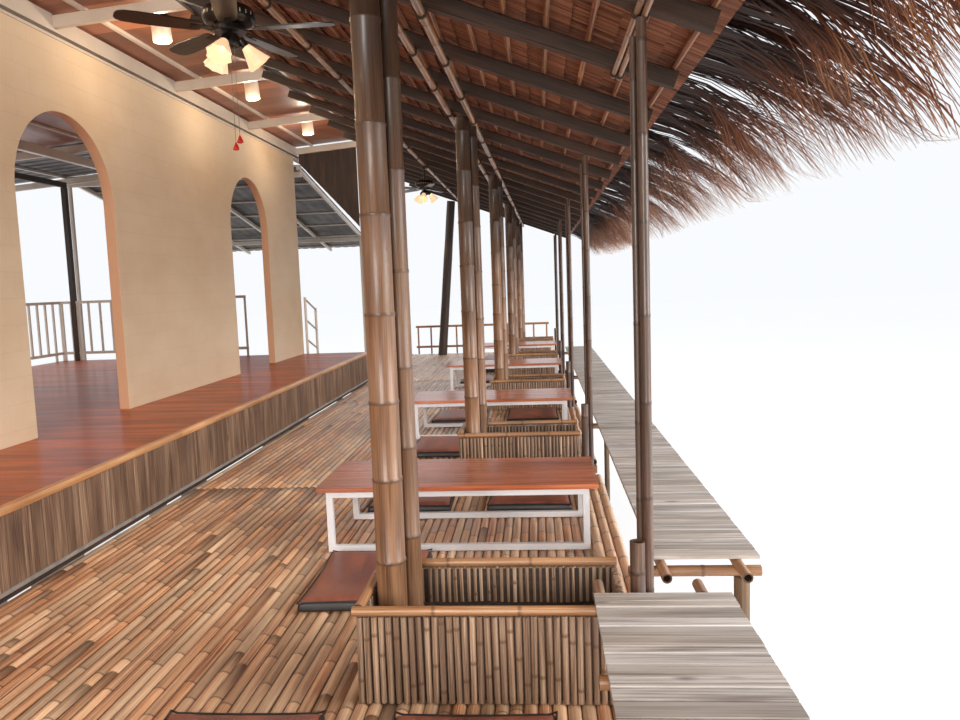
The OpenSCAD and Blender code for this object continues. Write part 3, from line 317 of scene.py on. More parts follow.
def lathe(shape, base, axis, side, profile, sides, tint=0.5, mat=0, ruffle=None):
    """A turned piece: profile holds (radius, height along the axis) pairs."""
    up = axis.cross(side).normalized()
    points = []
    grain = []
    for r, h in profile:
        for k in range(sides):
            a = TURN * k / sides
            reach = r * (ruffle(r, h, a) if ruffle else 1.0)
            points.append(base + axis * h + between(side, up, a) * reach)
            grain.append((r * a, h, tint))
    is_open = profile[0][0] > POINT_R and profile[0] != profile[-1]
    faces = band(len(profile), sides) + (lids(len(profile), sides) if is_open else [])
    shape.add(points, faces, grain, None, mat)


def ribbed(shape, lo, hi, a, b, side, up, pitch, rib_w, rib_h, thickness):
    """A thin metal sheet with trapezoid ribs, from edge a to edge b; lo and hi are its reach beside a."""
    line = [(lo, 0.0)]
    count = int((hi - lo) / pitch)
    start = lo + ((hi - lo) - count * pitch) / 2
    for k in range(count):
        s = start + (k + 0.5) * pitch
        line += [(s - rib_w, 0.0), (s - rib_w / 2, rib_h), (s + rib_w / 2, rib_h), (s + rib_w, 0.0)]
    line.append((hi, 0.0))
    n = len(line)
    points = []
    grain = []
    for end, along in ((a, 0.0), (b, (b - a).length)):
        for lift in (0.0, thickness):
            for s, t in line:
                points.append(end + side * s + up * (t + lift))
                grain.append((s, along, 0.5))
    faces = []
    for k in range(n - 1):
        faces.append((k, k + 1, 2 * n + k + 1, 2 * n + k))
        faces.append((n + k + 1, n + k, 3 * n + k, 3 * n + k + 1))
        faces.append((k + 1, k, n + k, n + k + 1))
        faces.append((2 * n + k, 2 * n + k + 1, 3 * n + k + 1, 3 * n + k))
    faces.append((0, 2 * n, 3 * n, n))
    faces.append((n - 1, 2 * n - 1, 4 * n - 1, 3 * n - 1))
    shape.add(points, faces, grain)


# Materials

def rgb(r, g, b):
    """A screen colour from 0 to 255 as the linear colour that a shader takes."""
    def channel(c):
        """One channel as linear light."""
        c /= 255
        return c / 12.92 if c <= 0.04045 else ((c + 0.055) / 1.055) ** 2.4
    return (channel(r), channel(g), channel(b), 1.0)


class Nodes:
    """The node tree of a material or world, whose nodes are added one at a time."""

    def __init__(self, owner):
        """Turns the owner's nodes on."""
        owner.use_nodes = True
        self.nodes = owner.node_tree.nodes
        self.links = owner.node_tree.links

    def put(self, socket, value):
        """Links a node's output to a socket, or sets the socket's own value."""
        if isinstance(value, bpy.types.NodeSocket):
            self.links.new(value, socket)
        else:
            socket.default_value = value

    def add(self, kind, inputs, **settings):
        """Adds a node with its settings, its inputs set or linked."""
        node = self.nodes.new("ShaderNode" + kind)
        for key, value in settings.items():
            setattr(node, key, value)
        for key, value in inputs.items():
            self.put(node.inputs[key], value)
        return node

    def grain(self, scale):
        """The grain attribute times a scale for across, along and tint."""
        source = self.add("Attribute", {}, attribute_name="grain").outputs["Vector"]
        return self.add("VectorMath", {0: source, 1: scale}, operation="MULTIPLY").outputs[0]

    def tint(self):
        """The grain's third part, which is the same all over one board or culm."""
        source = self.add("Attribute", {}, attribute_name="grain").outputs["Vector"]
        return self.add("SeparateXYZ", {0: source}).outputs[2]

    def ring(self):
        """How close a spot is to a joint of its culm, how far along its strand, and on deck culms' groove
        floors and deep in open culm ends a mark whose colour is painted shade.
        """
        return self.add("Attribute", {}, attribute_name="ring").outputs["Fac"]

    def place(self, scale=(1, 1, 1)):
        """Object coordinates times a scale."""
        source = self.add("TexCoord", {}).outputs["Object"]
        return self.add("VectorMath", {0: source, 1: scale}, operation="MULTIPLY").outputs[0]

    def noise(self, vector, scale=1.0, detail=4.0, rough=0.55):
        """Soft noise from 0 to 1."""
        inputs = {"Vector": vector, "Scale": scale, "Detail": detail, "Roughness": rough}
        return self.add("TexNoise", inputs).outputs["Fac"]

    def math(self, operation, a, b=0.0):
        """One sum of two values."""
        return self.add("Math", {0: a, 1: b}, operation=operation).outputs[0]

    def span(self, value, lo, hi, to_lo=0.0, to_hi=1.0):
        """Maps a value from one span onto another."""
        inputs = {"Value": value, "From Min": lo, "From Max": hi, "To Min": to_lo, "To Max": to_hi}
        return self.add("MapRange", inputs).outputs[0]

    def ramp(self, fac, stops):
        """Colours at their places along a value."""
        node = self.add("ValToRGB", {"Fac": fac})
        elements = node.color_ramp.elements
        while len(elements) < len(stops):
            elements.new(0.5)
        for element, (position, colour) in zip(elements, stops):
            element.position = position
            element.color = colour
        return node.outputs["Color"]

    def mix(self, fac, a, b, blend="MIX"):
        """Mixes two colours."""
        node = self.add("Mix", {}, data_type="RGBA", blend_type=blend)
        self.put(node.inputs[0], fac)
        self.put(node.inputs[6], a)
        self.put(node.inputs[7], b)
        return node.outputs[2]

    def seen(self):
        """1 for rays that show the background: from the camera, off gloss and through glass."""
        rays = self.add("LightPath", {}).outputs
        either = self.math("MAXIMUM", rays["Is Camera Ray"], rays["Is Glossy Ray"])
        return self.math("MAXIMUM", either, rays["Is Transmission Ray"])


class Graph(Nodes):
    """A material and its shader."""

    def __init__(self, name, **sockets):
        """Makes the material and sets plain shader values."""
        self.material = bpy.data.materials.new(name)
        super().__init__(self.material)
        self.shader = self.nodes["Principled BSDF"]
        for socket, value in sockets.items():
            self.shader.inputs[socket.replace("_", " ")].default_value = value

    def colour(self, value):
        """Sets or links the shader's colour."""
        self.put(self.shader.inputs["Base Color"], value)

    def rough(self, value):
        """Sets or links the shader's roughness."""
        self.put(self.shader.inputs["Roughness"], value)

    def bump(self, height, strength, distance):
        """Gives the shader relief from a height."""
        node = self.add("Bump", {"Height": height, "Strength": strength, "Distance": distance})
        self.put(self.shader.inputs["Normal"], node.outputs[0])


WHITE = (1.0, 1.0, 1.0, 1.0)
BLACK = (0.0, 0.0, 0.0, 1.0)


def fibre(name, dark, mid, pale, other, fine=420.0, long=3.0, rough=0.5, gloss=0.0, vary=0.7, depth=0.0006,
          ring=None, high=None, knots=0.0):
    """Wood or bamboo whose streaks run along each board or culm; other is the tone some of them lean to."""
    g = Graph(name, Coat_Weight=gloss, Coat_Roughness=0.18)
    fine_noise = g.noise(g.grain((fine, long, 37.0)), 1.0, 5.0, 0.6)
    broad_noise = g.noise(g.grain((fine / 9, long * 0.7, 91.0)), 1.0, 3.0)
    both = g.math("ADD", g.math("MULTIPLY", fine_noise, 0.6), g.math("MULTIPLY", broad_noise, 0.4))
    dark, mid, pale, other = (rgb(*tone) for tone in (dark, mid, pale, other))
    colour = g.ramp(both, [(0.36, dark), (0.5, mid), (0.66, pale)])
    colour = g.mix(g.math("MULTIPLY", g.tint(), vary), colour, g.mix(0.6, colour, other))
    shade = g.noise(g.grain((1.5, 0.8, 400.0)), 1.0, 2.0)
    shade = g.ramp(shade, [(0.3, (0.62, 0.62, 0.62, 1)), (0.7, (1.15, 1.15, 1.15, 1))])
    colour = g.mix(1.0, colour, shade, "MULTIPLY")
    if knots:
        spots = g.add("TexVoronoi", {"Vector": g.grain((9.0, 3.2, 53.0)), "Scale": 1.0}).outputs["Distance"]
        eye = g.span(spots, 0.05, 0.16, knots, 0.0)
        colour = g.mix(eye, colour, dark)
    # high darkens the colour above a height towards a given colour; on the posts this is painted shade under
    # the thatch and rafters.
    if high:
        z = g.add("SeparateXYZ", {0: g.place()}).outputs[2]
        colour = g.mix(g.span(z, high[0], high[1], 0.0, high[2]), colour, rgb(*high[3]))
    # The ring colour darkens culm joints; where it marks deck culms' groove floors and the depth of open culm
    # ends it is painted shade.
    if ring:
        colour = g.mix(g.math("MULTIPLY", g.ring(), 0.75), colour, rgb(*ring))
    g.colour(colour)
    g.rough(g.span(fine_noise, 0.3, 0.7, rough - 0.08, rough + 0.1))
    g.bump(fine_noise, 0.5, depth)
    return g.material


def paint(name, colour, worn, rough=0.45, metal=0.0, patch=3.0, amount=0.35, depth=0.0004, gloss=0.0):
    """Painted or bare metal, concrete and other plain finishes with blotches and a fine skin."""
    g = Graph(name, Metallic=metal, Coat_Weight=gloss, Coat_Roughness=0.2)
    blotch = g.noise(g.place(), patch, 6.0, 0.62)
    skin = g.noise(g.place(), 90.0, 3.0)
    fac = g.math("MULTIPLY", g.span(blotch, 0.45, 0.75), amount)
    worn = rgb(*worn)
    tone = g.mix(fac, rgb(*colour), worn)
    g.colour(g.mix(g.span(skin, 0.3, 0.7, 0.0, 0.12), tone, worn))
    g.rough(g.span(blotch, 0.3, 0.7, rough - 0.06, rough + 0.12))
    g.bump(skin, 0.35, depth)
    return g.material


def wall_paint():
    """Cream paint over blocks: faint courses on the faces, and a darker, warmer tone as painted shade on
    every face that does not face along X, the arches' reveals among them.
    """
    g = Graph("cream_wall")
    spot = g.add("SeparateXYZ", {0: g.place()})
    flat = g.add("CombineXYZ", {0: spot.outputs[1], 1: spot.outputs[2]}).outputs[0]
    inputs = {"Vector": flat, "Color1": WHITE, "Color2": (0.9, 0.9, 0.9, 1), "Mortar": BLACK, "Scale": 1.0}
    inputs.update({"Mortar Size": 0.004, "Mortar Smooth": 1.0, "Brick Width": 0.4, "Row Height": 0.2})
    courses = g.add("TexBrick", inputs).outputs["Color"]
    joint = g.add("RGBToBW", {0: courses}).outputs[0]
    blotch = g.noise(g.place((1, 0.6, 1)), 0.9, 5.0, 0.6)
    tone = g.ramp(blotch, [(0.3, rgb(214, 186, 152)), (0.55, rgb(226, 203, 172)), (0.75, rgb(233, 214, 188))])
    tone = g.mix(g.span(joint, 0.0, 0.9, 0.22, 0.0), tone, rgb(186, 154, 120))
    # Faces that don't face along X are coloured darker and warmer: painted shade on the reveals.
    normal = g.add("SeparateXYZ", {0: g.add("NewGeometry", {}).outputs["True Normal"]}).outputs[0]
    side = g.span(g.math("ABSOLUTE", normal), 0.4, 0.6)
    g.colour(g.mix(side, rgb(206, 158, 122), tone))
    g.rough(g.span(blotch, 0.3, 0.7, 0.62, 0.8))
    fine = g.noise(g.place(), 60.0, 4.0)
    g.bump(g.math("ADD", g.math("MULTIPLY", joint, 0.8), g.math("MULTIPLY", fine, 0.25)), 0.6, 0.002)
    return g.material


def leather(name, colour, light, rough):
    """Worn leather cloth with a fine pebble and broad creases."""
    g = Graph(name, Coat_Weight=0.12, Coat_Roughness=0.3)
    cells = g.add("TexVoronoi", {"Vector": g.place(), "Scale": 380.0}, feature="DISTANCE_TO_EDGE")
    pebble = g.span(cells.outputs["Distance"], 0.0, 0.25)
    broad = g.noise(g.place((1, 0.4, 1)), 6.0, 5.0)
    g.colour(g.mix(g.span(broad, 0.35, 0.7), rgb(*colour), rgb(*light)))
    g.rough(g.span(broad, 0.3, 0.7, rough - 0.1, rough + 0.12))
    g.bump(g.math("ADD", g.math("MULTIPLY", pebble, 0.4), broad), 0.35, 0.0012)
    return g.material


def glowing(name, colour, strength, rough=0.3, clear=0.0):
    """Frosted lamp glass lit from inside, a little brighter in the folds."""
    g = Graph(name, Roughness=rough, Transmission_Weight=clear, Emission_Strength=strength)
    tone = g.noise(g.place(), 40.0, 2.0)
    shade = g.mix(g.span(tone, 0.3, 0.7, 0.0, 0.3), rgb(*colour), WHITE)
    g.colour(shade)
    g.put(g.shader.inputs["Emission Color"], shade)
    return g.material


def tube_glass():
    """Frosted glass that glows more and more towards the lamp in its foot."""
    g = Graph("downlight_glass", Roughness=0.35, Transmission_Weight=0.2)
    along = g.add("SeparateXYZ", {0: g.grain((1, 1, 1))}).outputs[1]
    g.colour(g.mix(g.noise(g.place(), 30.0, 2.0), rgb(232, 218, 198), rgb(246, 238, 226)))
    warm = g.mix(g.span(along, 0.1, 0.2), rgb(255, 206, 150), rgb(255, 240, 214))
    g.put(g.shader.inputs["Emission Color"], warm)
    rise = g.math("POWER", g.span(along, 0.06, 0.215), 3.0)
    g.put(g.shader.inputs["Emission Strength"], g.math("ADD", rise, 0.12))
    return g.material


def leaf_strips():
    """Fringe strips: dark roots, orange-brown middles and pale dry tips."""
    g = Graph("fringe_strips")
    streak = g.noise(g.grain((700.0, 2.0, 61.0)), 1.0, 4.0)
    by_length = g.math("ADD", g.ring(), g.span(g.tint(), 0.0, 1.0, -0.16, 0.16))
    stops = [(0.0, rgb(38, 22, 17)), (0.40, rgb(62, 36, 26)), (0.62, rgb(112, 66, 44))]
    colour = g.ramp(by_length, stops + [(0.84, rgb(160, 104, 72)), (1.0, rgb(206, 164, 128))])
    shade = g.ramp(streak, [(0.3, (0.55, 0.5, 0.46, 1)), (0.7, (1.2, 1.16, 1.12, 1))])
    colour = g.mix(1.0, colour, shade, "MULTIPLY")
    g.colour(colour)
    g.rough(g.span(streak, 0.3, 0.7, 0.5, 0.7))
    g.bump(streak, 0.4, 0.0005)
    return g.material


def soil():
    """Dark clods of earth."""
    g = Graph("soil", Roughness=0.95)
    clods = g.noise(g.place(), 35.0, 8.0, 0.7)
    g.colour(g.ramp(clods, [(0.35, rgb(28, 20, 15)), (0.6, rgb(66, 50, 38)), (0.75, rgb(100, 82, 64))]))
    g.bump(clods, 0.9, 0.012)
    return g.material


# Its ring colour is painted shade deep inside open culm ends.
CUT_END = fibre("culm_inside", (30, 20, 12), (70, 45, 28), (150, 115, 75), (90, 60, 35),
                ring=(12, 8, 5))
# Its ring colour darkens the culm joints and, as painted shade, the groove floors between the culms.
DECK_CULM = fibre("deck_culms", (132, 76, 50), (226, 160, 114), (255, 224, 180), (255, 232, 196),
                  fine=260, long=1.4, rough=0.34, gloss=0.3, vary=0.9, depth=0.0012, ring=(44, 24, 15))
OLD_DECK = fibre("terrace_culms", (84, 68, 58), (140, 118, 102), (188, 170, 152), (150, 116, 92),
                 fine=260, long=2.2, rough=0.6, vary=0.8, depth=0.0012, ring=(84, 66, 52))
PALE_CULM = fibre("pale_culm", (168, 112, 66), (208, 152, 102), (232, 186, 136), (222, 160, 104),
                  rough=0.36, gloss=0.3, vary=0.6, ring=(138, 88, 52))
CULM = fibre("culm", (128, 86, 54), (172, 124, 84), (206, 164, 122), (150, 104, 70),
             rough=0.42, gloss=0.2, ring=(92, 60, 38))
# The posts darken above 4 m: painted shade under the thatch and rafters.
POST_CULM = fibre("post_culm", (84, 56, 38), (140, 100, 70), (174, 134, 100), (104, 72, 50), fine=300,
                  rough=0.4, gloss=0.2, vary=0.35, ring=(76, 52, 38), high=(4.0, 5.6, 0.86, (36, 28, 24)))
PLANTER_CULM = fibre("planter_culm", (76, 54, 42), (172, 140, 114), (228, 202, 174), (120, 94, 76),
                     fine=500, rough=0.42, gloss=0.15, vary=0.9, ring=(96, 66, 46))
DARK_CULM = fibre("dark_culm", (56, 38, 30), (96, 70, 56), (134, 104, 84), (74, 58, 48),
                  rough=0.4, gloss=0.25, vary=0.9, ring=(52, 34, 24))
FLOOR = fibre("floor_boards", (96, 38, 18), (194, 94, 48), (220, 124, 72), (150, 68, 34), fine=46,
              long=1.1, rough=0.44, gloss=0.14, vary=0.5, depth=0.0003, knots=0.35)
SKIRT = fibre("skirt_boards", (70, 50, 38), (142, 110, 86), (190, 162, 132), (88, 60, 44), fine=110,
              long=2.0, rough=0.65, vary=1.0, depth=0.0014, knots=0.85)
PLANK = fibre("counter_planks", (116, 104, 98), (204, 196, 190), (230, 226, 222), (164, 150, 136),
              fine=100, long=1.6, rough=0.5, vary=0.9, depth=0.001, knots=0.85)
TABLE = fibre("table_boards", (136, 66, 36), (188, 100, 60), (212, 128, 84), (198, 116, 74), fine=150,
              long=1.4, rough=0.3, gloss=0.5, vary=0.6, depth=0.0004)
PLY = fibre("plywood", (118, 70, 46), (160, 98, 68), (188, 126, 92), (138, 80, 54), fine=16, long=0.7,
            rough=0.45, gloss=0.15, vary=0.5, depth=0.0003)
TIMBER = fibre("dark_timber", (30, 22, 17), (58, 42, 32), (92, 66, 48), (74, 52, 38), fine=130,
               rough=0.6, vary=0.7, depth=0.0015)
STILT = fibre("stilt_wood", (70, 52, 38), (116, 90, 66), (150, 122, 94), (96, 84, 72), fine=160,
              rough=0.65, vary=0.7, depth=0.002)
BATTEN = fibre("batten", (128, 88, 56), (186, 142, 100), (214, 174, 130), (150, 106, 70), rough=0.5)
STRAW = fibre("thatch_under", (44, 24, 17), (156, 96, 68), (230, 172, 132), (116, 72, 52), fine=620,
              long=2.5, rough=0.65, vary=0.9, depth=0.003)
STRAW_TOP = fibre("thatch_top", (74, 56, 42), (128, 102, 78), (168, 142, 112), (98, 84, 70), fine=700,
                  long=2.5, rough=0.85, vary=0.9, depth=0.003)
FRINGE = leaf_strips()
TWINE = fibre("twine", (30, 24, 20), (70, 58, 48), (112, 96, 78), (60, 50, 44), rough=0.9, vary=0.5)
CREAM = wall_paint()
STEEL = paint("white_steel", (214, 202, 188), (170, 148, 126), rough=0.38, amount=0.3)
FRAME_WHITE = paint("frame_white", (226, 226, 228), (176, 178, 184), rough=0.35, amount=0.25)
GREY_STEEL = paint("grey_steel", (118, 116, 114), (88, 70, 58), rough=0.5, amount=0.5)
ZINC = paint("zinc_strip", (186, 184, 178), (120, 116, 108), rough=0.42, metal=0.5, amount=0.6, patch=8)
CONCRETE = paint("concrete", (168, 162, 154), (120, 112, 104), rough=0.85, amount=0.6, depth=0.002)
DARK_SHEET = paint("canopy_sheet", (66, 58, 50), (40, 34, 30), rough=0.55, metal=0.2, amount=0.6)
SHEET = paint("roof_sheet", (98, 94, 92), (66, 54, 48), rough=0.5, metal=0.3, amount=0.6)
METAL = paint("fan_metal", (36, 32, 30), (74, 62, 50), rough=0.3, metal=0.6, amount=0.4, patch=14)
# Pale paint for the small bars round the fan housing: painted highlights.
PAINTED_HIGHLIGHT = paint("fan_painted_highlights", (206, 184, 154), (150, 128, 104), rough=0.5)
BLADE = fibre("fan_blades", (18, 14, 12), (38, 28, 23), (58, 44, 36), (30, 22, 18), fine=120,
              rough=0.35, gloss=0.2, vary=0.3)
SHADE = glowing("shade_glass", (246, 218, 176), 0.35, 0.35, 0.35)
TUBE_GLASS = tube_glass()
CHAIN = paint("chain_steel", (150, 144, 136), (92, 84, 74), rough=0.3, metal=0.8)
RED = paint("tag_red", (206, 34, 28), (150, 22, 18), rough=0.3, gloss=0.4)
LAMP = glowing("lamp_face", (255, 236, 200), 5.0)
BROWN = leather("brown_leather", (118, 66, 54), (178, 110, 88), 0.4)
BLACK_SIDE = leather("black_side", (26, 24, 25), (48, 44, 44), 0.5)
SOIL = soil()


# Under and round the decks

SHADOW_BOARD_H = 0.15
BOTH = (True, True)
GROOVE = 0.015
DECK_PITCH = 0.054
TERRACE_PITCH = 0.072
DECK_LENGTHS = (2.4, 5.0)
SHORT_END = 0.9
DECK_JOINTS = 0.5
FLOOR_BOARD = 0.125
NOSING_LENGTHS = (2.6, 3.6)
BUTT_GAP = 0.002
STRIP_L = 1.2
STRIP_GAP = 0.004
SKIRT_BOARD = 0.078
GROOVE_EDGE = 0.012
DECK_BED = 0.006
NEAR_END = 0.01


def culm_node(name, node, slot, material, spacing=0.3, sides=12, hollow=(False, False), **more):
    """Rebuilds each straight culm of a CAD node; hollow may be worked out from its ends and radius."""
    shape = Shape()
    for solid in solids(node):
        a, b, r = ends(solid)[:3]
        opened = hollow(a, b, r) if callable(hollow) else hollow
        culm(shape, a, b, r / NODE_RISE, spacing, sides, hollow=opened, **more)
    piece(name, shape, [material, CUT_END], [node])


def split_culm(shape, x, y0, y1, top, width, pitch, depth, spacing):
    """Half a culm lying along the deck: a low arch with raised joints and a groove on each side, whose floor
    is coloured dark as painted shade.
    """
    w = width / 2
    h = pitch / 2
    outline = [(-h, -depth), (-h, -GROOVE), (-w, -0.010), (-0.6 * w, -0.0032), (0, 0), (0.62 * w, -0.0035)]
    outline += [(w, -0.010), (h, -GROOVE), (h, -depth)]
    tint = rng.random()
    tilt = rng.uniform(-0.05, 0.05)
    sections = [(y0, -0.002, 1.0), (y0 + 0.005, 0.0, 0.0)]
    y = y0 + rng.uniform(0.1, 1.0) * spacing
    while y < y1 - 0.03:
        sections += [(y - 0.008, 0.0, 0.0), (y, 0.0018, 1.0), (y + 0.010, 0.0, 0.3)]
        y += spacing * rng.uniform(0.85, 1.15)
    sections.append((y1, -0.002, 1.0))
    points = []
    grain = []
    rings = []
    n = len(outline)
    for y, rise, ring in sections:
        for s, t in outline:
            lift = (rise if t > -GROOVE_EDGE else 0) + s * tilt
            points.append(Vector((x + s, y, min(top + t + lift, top + 0.001))))
            grain.append((s, y, tint))
            # Points on the groove floor get ring 1, which paints shade into the groove.
            rings.append(1.0 if t < -GROOVE_EDGE else ring)
    faces = [(i * n + k, i * n + k + 1, (i + 1) * n + k + 1, (i + 1) * n + k)
             for i in range(len(sections) - 1) for k in range(n - 1)]
    shape.add(points, faces + lids(len(sections), n), grain, rings)


def deck():
    """Split culms side by side, cut at the seams and at odd places between them."""
    front = Shape()
    rear = Shape()
    for solid in solids("deck_floor"):
        lo, hi = box_of(solid)
        is_rear = hi.x < EDGE_X
        shape, pitch = (rear, TERRACE_PITCH) if is_rear else (front, DECK_PITCH)
        count = round((hi.x - lo.x) / pitch)
        pitch = (hi.x - lo.x) / count
        for k in range(count):
            x = lo.x + (k + 0.5) * pitch
            y = lo.y
            while y < hi.y - NEAR_END:
                end = y + rng.uniform(*DECK_LENGTHS)
                if end > hi.y - SHORT_END:
                    end = hi.y
                width = pitch - rng.uniform(0.004, 0.012)
                top = hi.z - rng.uniform(0.0, 0.005)
                split_culm(shape, x, y, end, top, width, pitch, hi.z - lo.z - DECK_BED, DECK_JOINTS)
                y = end
    piece("deck_culms", front, [DECK_CULM], ["deck_floor"])
    piece("terrace_culms", rear, [OLD_DECK], ["deck_floor"])


def floor():
    """Glossy boards across the raised floor, its pale nosing, skirt, a low board in dark timber at the
    skirt's foot that paints the shadow gap there, and metal strip.
    """
    lo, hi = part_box("raised_floor")
    shape = Shape()
    boards(shape, lo, hi, 0, 1, FLOOR_BOARD, 0.0012, 0.0008)
    piece("floor_boards", shape, [FLOOR], ["raised_floor"])
    lo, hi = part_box("floor_nosing")
    shape = Shape()
    w = hi.x - lo.x
    h = hi.z - lo.z
    outline = [(-w / 2, -h / 2), (w * 0.3, -h / 2), (w / 2, -h * 0.3), (w / 2, h * 0.2), (w * 0.36, h * 0.42)]
    outline += [(w * 0.12, h / 2), (-w / 2, h / 2)]
    y = lo.y
    while y < hi.y - NEAR_END:
        end = min(hi.y, y + rng.uniform(*NOSING_LENGTHS))
        a, b = middle_run(lo, hi, y, end)
        extrude(shape, outline, a, b, X, Z)
        y = end + BUTT_GAP
    piece("nosing_strip", shape, [PALE_CULM], ["floor_nosing"])
    shape = Shape()
    shadow_board = Shape()
    for solid in solids("floor_skirt"):
        lo, hi = box_of(solid)
        # Low solids are the recessed board at the skirt's foot; its dark timber is painted shade of the gap
        # under the strip.
        if hi.z - lo.z < SHADOW_BOARD_H:
            a, b = middle_run(lo, hi)
            bar(shadow_board, a, b, hi.x - lo.x, hi.z - lo.z, 0.001)
        else:
            across = 1 if hi.y - lo.y > hi.x - lo.x else 0
            boards(shape, lo, hi, 2, across, SKIRT_BOARD, 0.003, 0.003, 0.28, 0.006)
    piece("skirt_boards", shape, [SKIRT], ["floor_skirt"])
    if shadow_board.points:
        piece("shadow_gap_board", shadow_board, [TIMBER], ["floor_skirt"])
    lo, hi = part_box("skirt_strip")
    shape = Shape()
    y = lo.y
    while y < hi.y - NEAR_END:
        end = min(hi.y, y + STRIP_L)
        a, b = middle_run(lo, hi, y, end)
        bar(shape, a, b, hi.x - lo.x, hi.z - lo.z, 0.004)
        y = end + STRIP_GAP
    piece("metal_strip", shape, [ZINC], ["skirt_strip"])


def edge_culms():
    """Whole culms, a little bent, side by side along the deck's river edge."""
    shape = Shape()
    for solid in solids("deck_edge_culms"):
        a, b, r = ends(solid)[:3]
        culm(shape, a, b, r / NODE_RISE, 0.34, 12, bend=rng.uniform(0, 0.004), hollow=BOTH)
    piece("edge_culms", shape, [DECK_CULM, CUT_END], ["deck_edge_culms"])


# Wall and steel roof

ROOF_RIB_W = 0.05
ROOF_T = 0.002
SHEET_L = 2.44
SHEET_W = 1.22
SHEET_JOINT = 0.004
SCREEN_BOARD = 0.09
SCREEN_GAP = 0.002
SCREEN_SET = 0.003


def dress(node, material, bevel):
    """Gives a CAD node its finish and eased edges."""
    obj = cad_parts[node]
    obj.data.materials.clear()
    obj.data.materials.append(material)
    if bevel:
        weld = obj.modifiers.new("weld", "WELD")
        weld.merge_threshold = 0.00004
        ease = obj.modifiers.new("ease", "BEVEL")
        ease.width = bevel
        ease.segments = 2
        ease.limit_method = "ANGLE"
        ease.angle_limit = math.radians(50)
        ease.harden_normals = True


def channel(width, height, lip, wall):
    """A C section about the middle, open towards positive width."""
    w = width / 2
    h = height / 2
    outer = [(w, h - lip), (w, h), (-w, h), (-w, -h), (w, -h), (w, -h + lip)]
    inner = [(w - wall, -h + lip), (w - wall, -h + wall), (-w + wall, -h + wall), (-w + wall, h - wall)]
    return outer + inner + [(w - wall, h - wall), (w - wall, h - lip)]


def wall_plate():
    """The long channel on the wall with plain blocks between the rafters."""
    shape = Shape()
    for solid in solids("wall_plate"):
        lo, hi = box_of(solid)
        a, b = middle_run(lo, hi)
        if hi.z - lo.z < 0.1:
            extrude(shape, channel(hi.x - lo.x, hi.z - lo.z, 0.024, 0.004), a, b, X, Z)
        else:
            bar(shape, a, b, hi.x - lo.x, hi.z - lo.z, 0.002, Z)
    piece("plate_channel", shape, [STEEL], ["wall_plate"])


def steel_bars(name, node, seam, chamfer=0.003):
    """Box bars welded from two channels: a fine groove runs along the middle of each wide face."""
    shape = Shape()
    for solid in solids(node):
        centre, axes, half = oriented(solid)
        along = axes[0]
        up = axes[1] if abs(axes[1].z) > abs(axes[2].z) else axes[2]
        side = along.cross(up)
        h = half_along(solid, centre, up)
        w = half_along(solid, centre, side)
        c = chamfer
        g = seam
        outline = [(-w + c, -h), (-g, -h), (0, -h + 2 * g), (g, -h), (w - c, -h), (w, -h + c), (w, h - c)]
        outline += [(w - c, h), (g, h), (0, h - 2 * g), (-g, h), (-w + c, h), (-w, h - c), (-w, -h + c)]
        extrude(shape, outline, centre - along * half[0], centre + along * half[0], side, up)
    piece(name, shape, [STEEL], [node])


def upright(solid):
    """Centre of a sloped slab and the unit vector square to it that points up."""
    centre, axes = oriented(solid)[:2]
    up = next(a for a in axes if abs(a.z) > 0.9)
    return centre, up if up.z > 0 else -up


def ceiling():
    """Plywood sheets with open joints."""
    shape = Shape()
    for solid in solids("plywood_ceiling"):
        lo, hi = box_of(solid)
        centre, up = upright(solid)
        down = Y.cross(up)
        reach = half_along(solid, centre, down)
        thick = half_along(solid, centre, up)
        rows = math.ceil(2 * reach / SHEET_L)
        columns = round((hi.y - lo.y) / SHEET_W)
        step = (hi.y - lo.y) / columns
        for i in range(rows):
            u0 = -reach + i * SHEET_L
            u1 = min(reach, u0 + SHEET_L) - SHEET_JOINT
            for k in range(columns):
                y = lo.y + (k + 0.5) * step - centre.y
                a = centre + down * u0 + Y * y
                b = centre + down * u1 + Y * y
                extrude(shape, plank_outline(step - SHEET_JOINT, 2 * thick, 0.001), a, b, Y, up)
    piece("ply_sheets", shape, [PLY], ["plywood_ceiling"])


def screen_boards():
    """Upright dark boards that close the roof's far end, cut along its slanted foot and head."""
    solid = solids("board_screen")[0]
    lo, hi = box_of(solid)
    shape = Shape()
    inner = solid[np.abs(solid[:, 0] - lo.x) < 0.001][:, 2]
    outer = solid[np.abs(solid[:, 0] - hi.x) < 0.001][:, 2]
    count = round((hi.x - lo.x) / SCREEN_BOARD)

    def foot(t):
        """Height of the slanted foot, from the inner edge at 0 to the outer at 1."""
        return min(inner) + (min(outer) - min(inner)) * t

    def head(t):
        """Height of the slanted head at the same place."""
        return max(inner) + (max(outer) - max(inner)) * t

    for k in range(count):
        t0 = k / count
        t1 = (k + 1) / count
        x0 = (hi.x - lo.x) * t0 + SCREEN_GAP
        x1 = (hi.x - lo.x) * t1 - SCREEN_GAP
        outline = [(x0, foot(t0)), (x1, foot(t1)), (x1, head(t1)), (x0, head(t0))]
        back = rng.uniform(0, SCREEN_SET)
        a = Vector((lo.x, hi.y - back, 0))
        b = Vector((lo.x, lo.y + SCREEN_SET - back, 0))
        grained = Shape()
        extrude(grained, outline, a, b, X, Z)
        shape.add(grained.points, grained.faces, [(p.x, p.z, grained.grain[0][2]) for p in grained.points])
    piece("screen_boards", shape, [TIMBER], ["board_screen"])


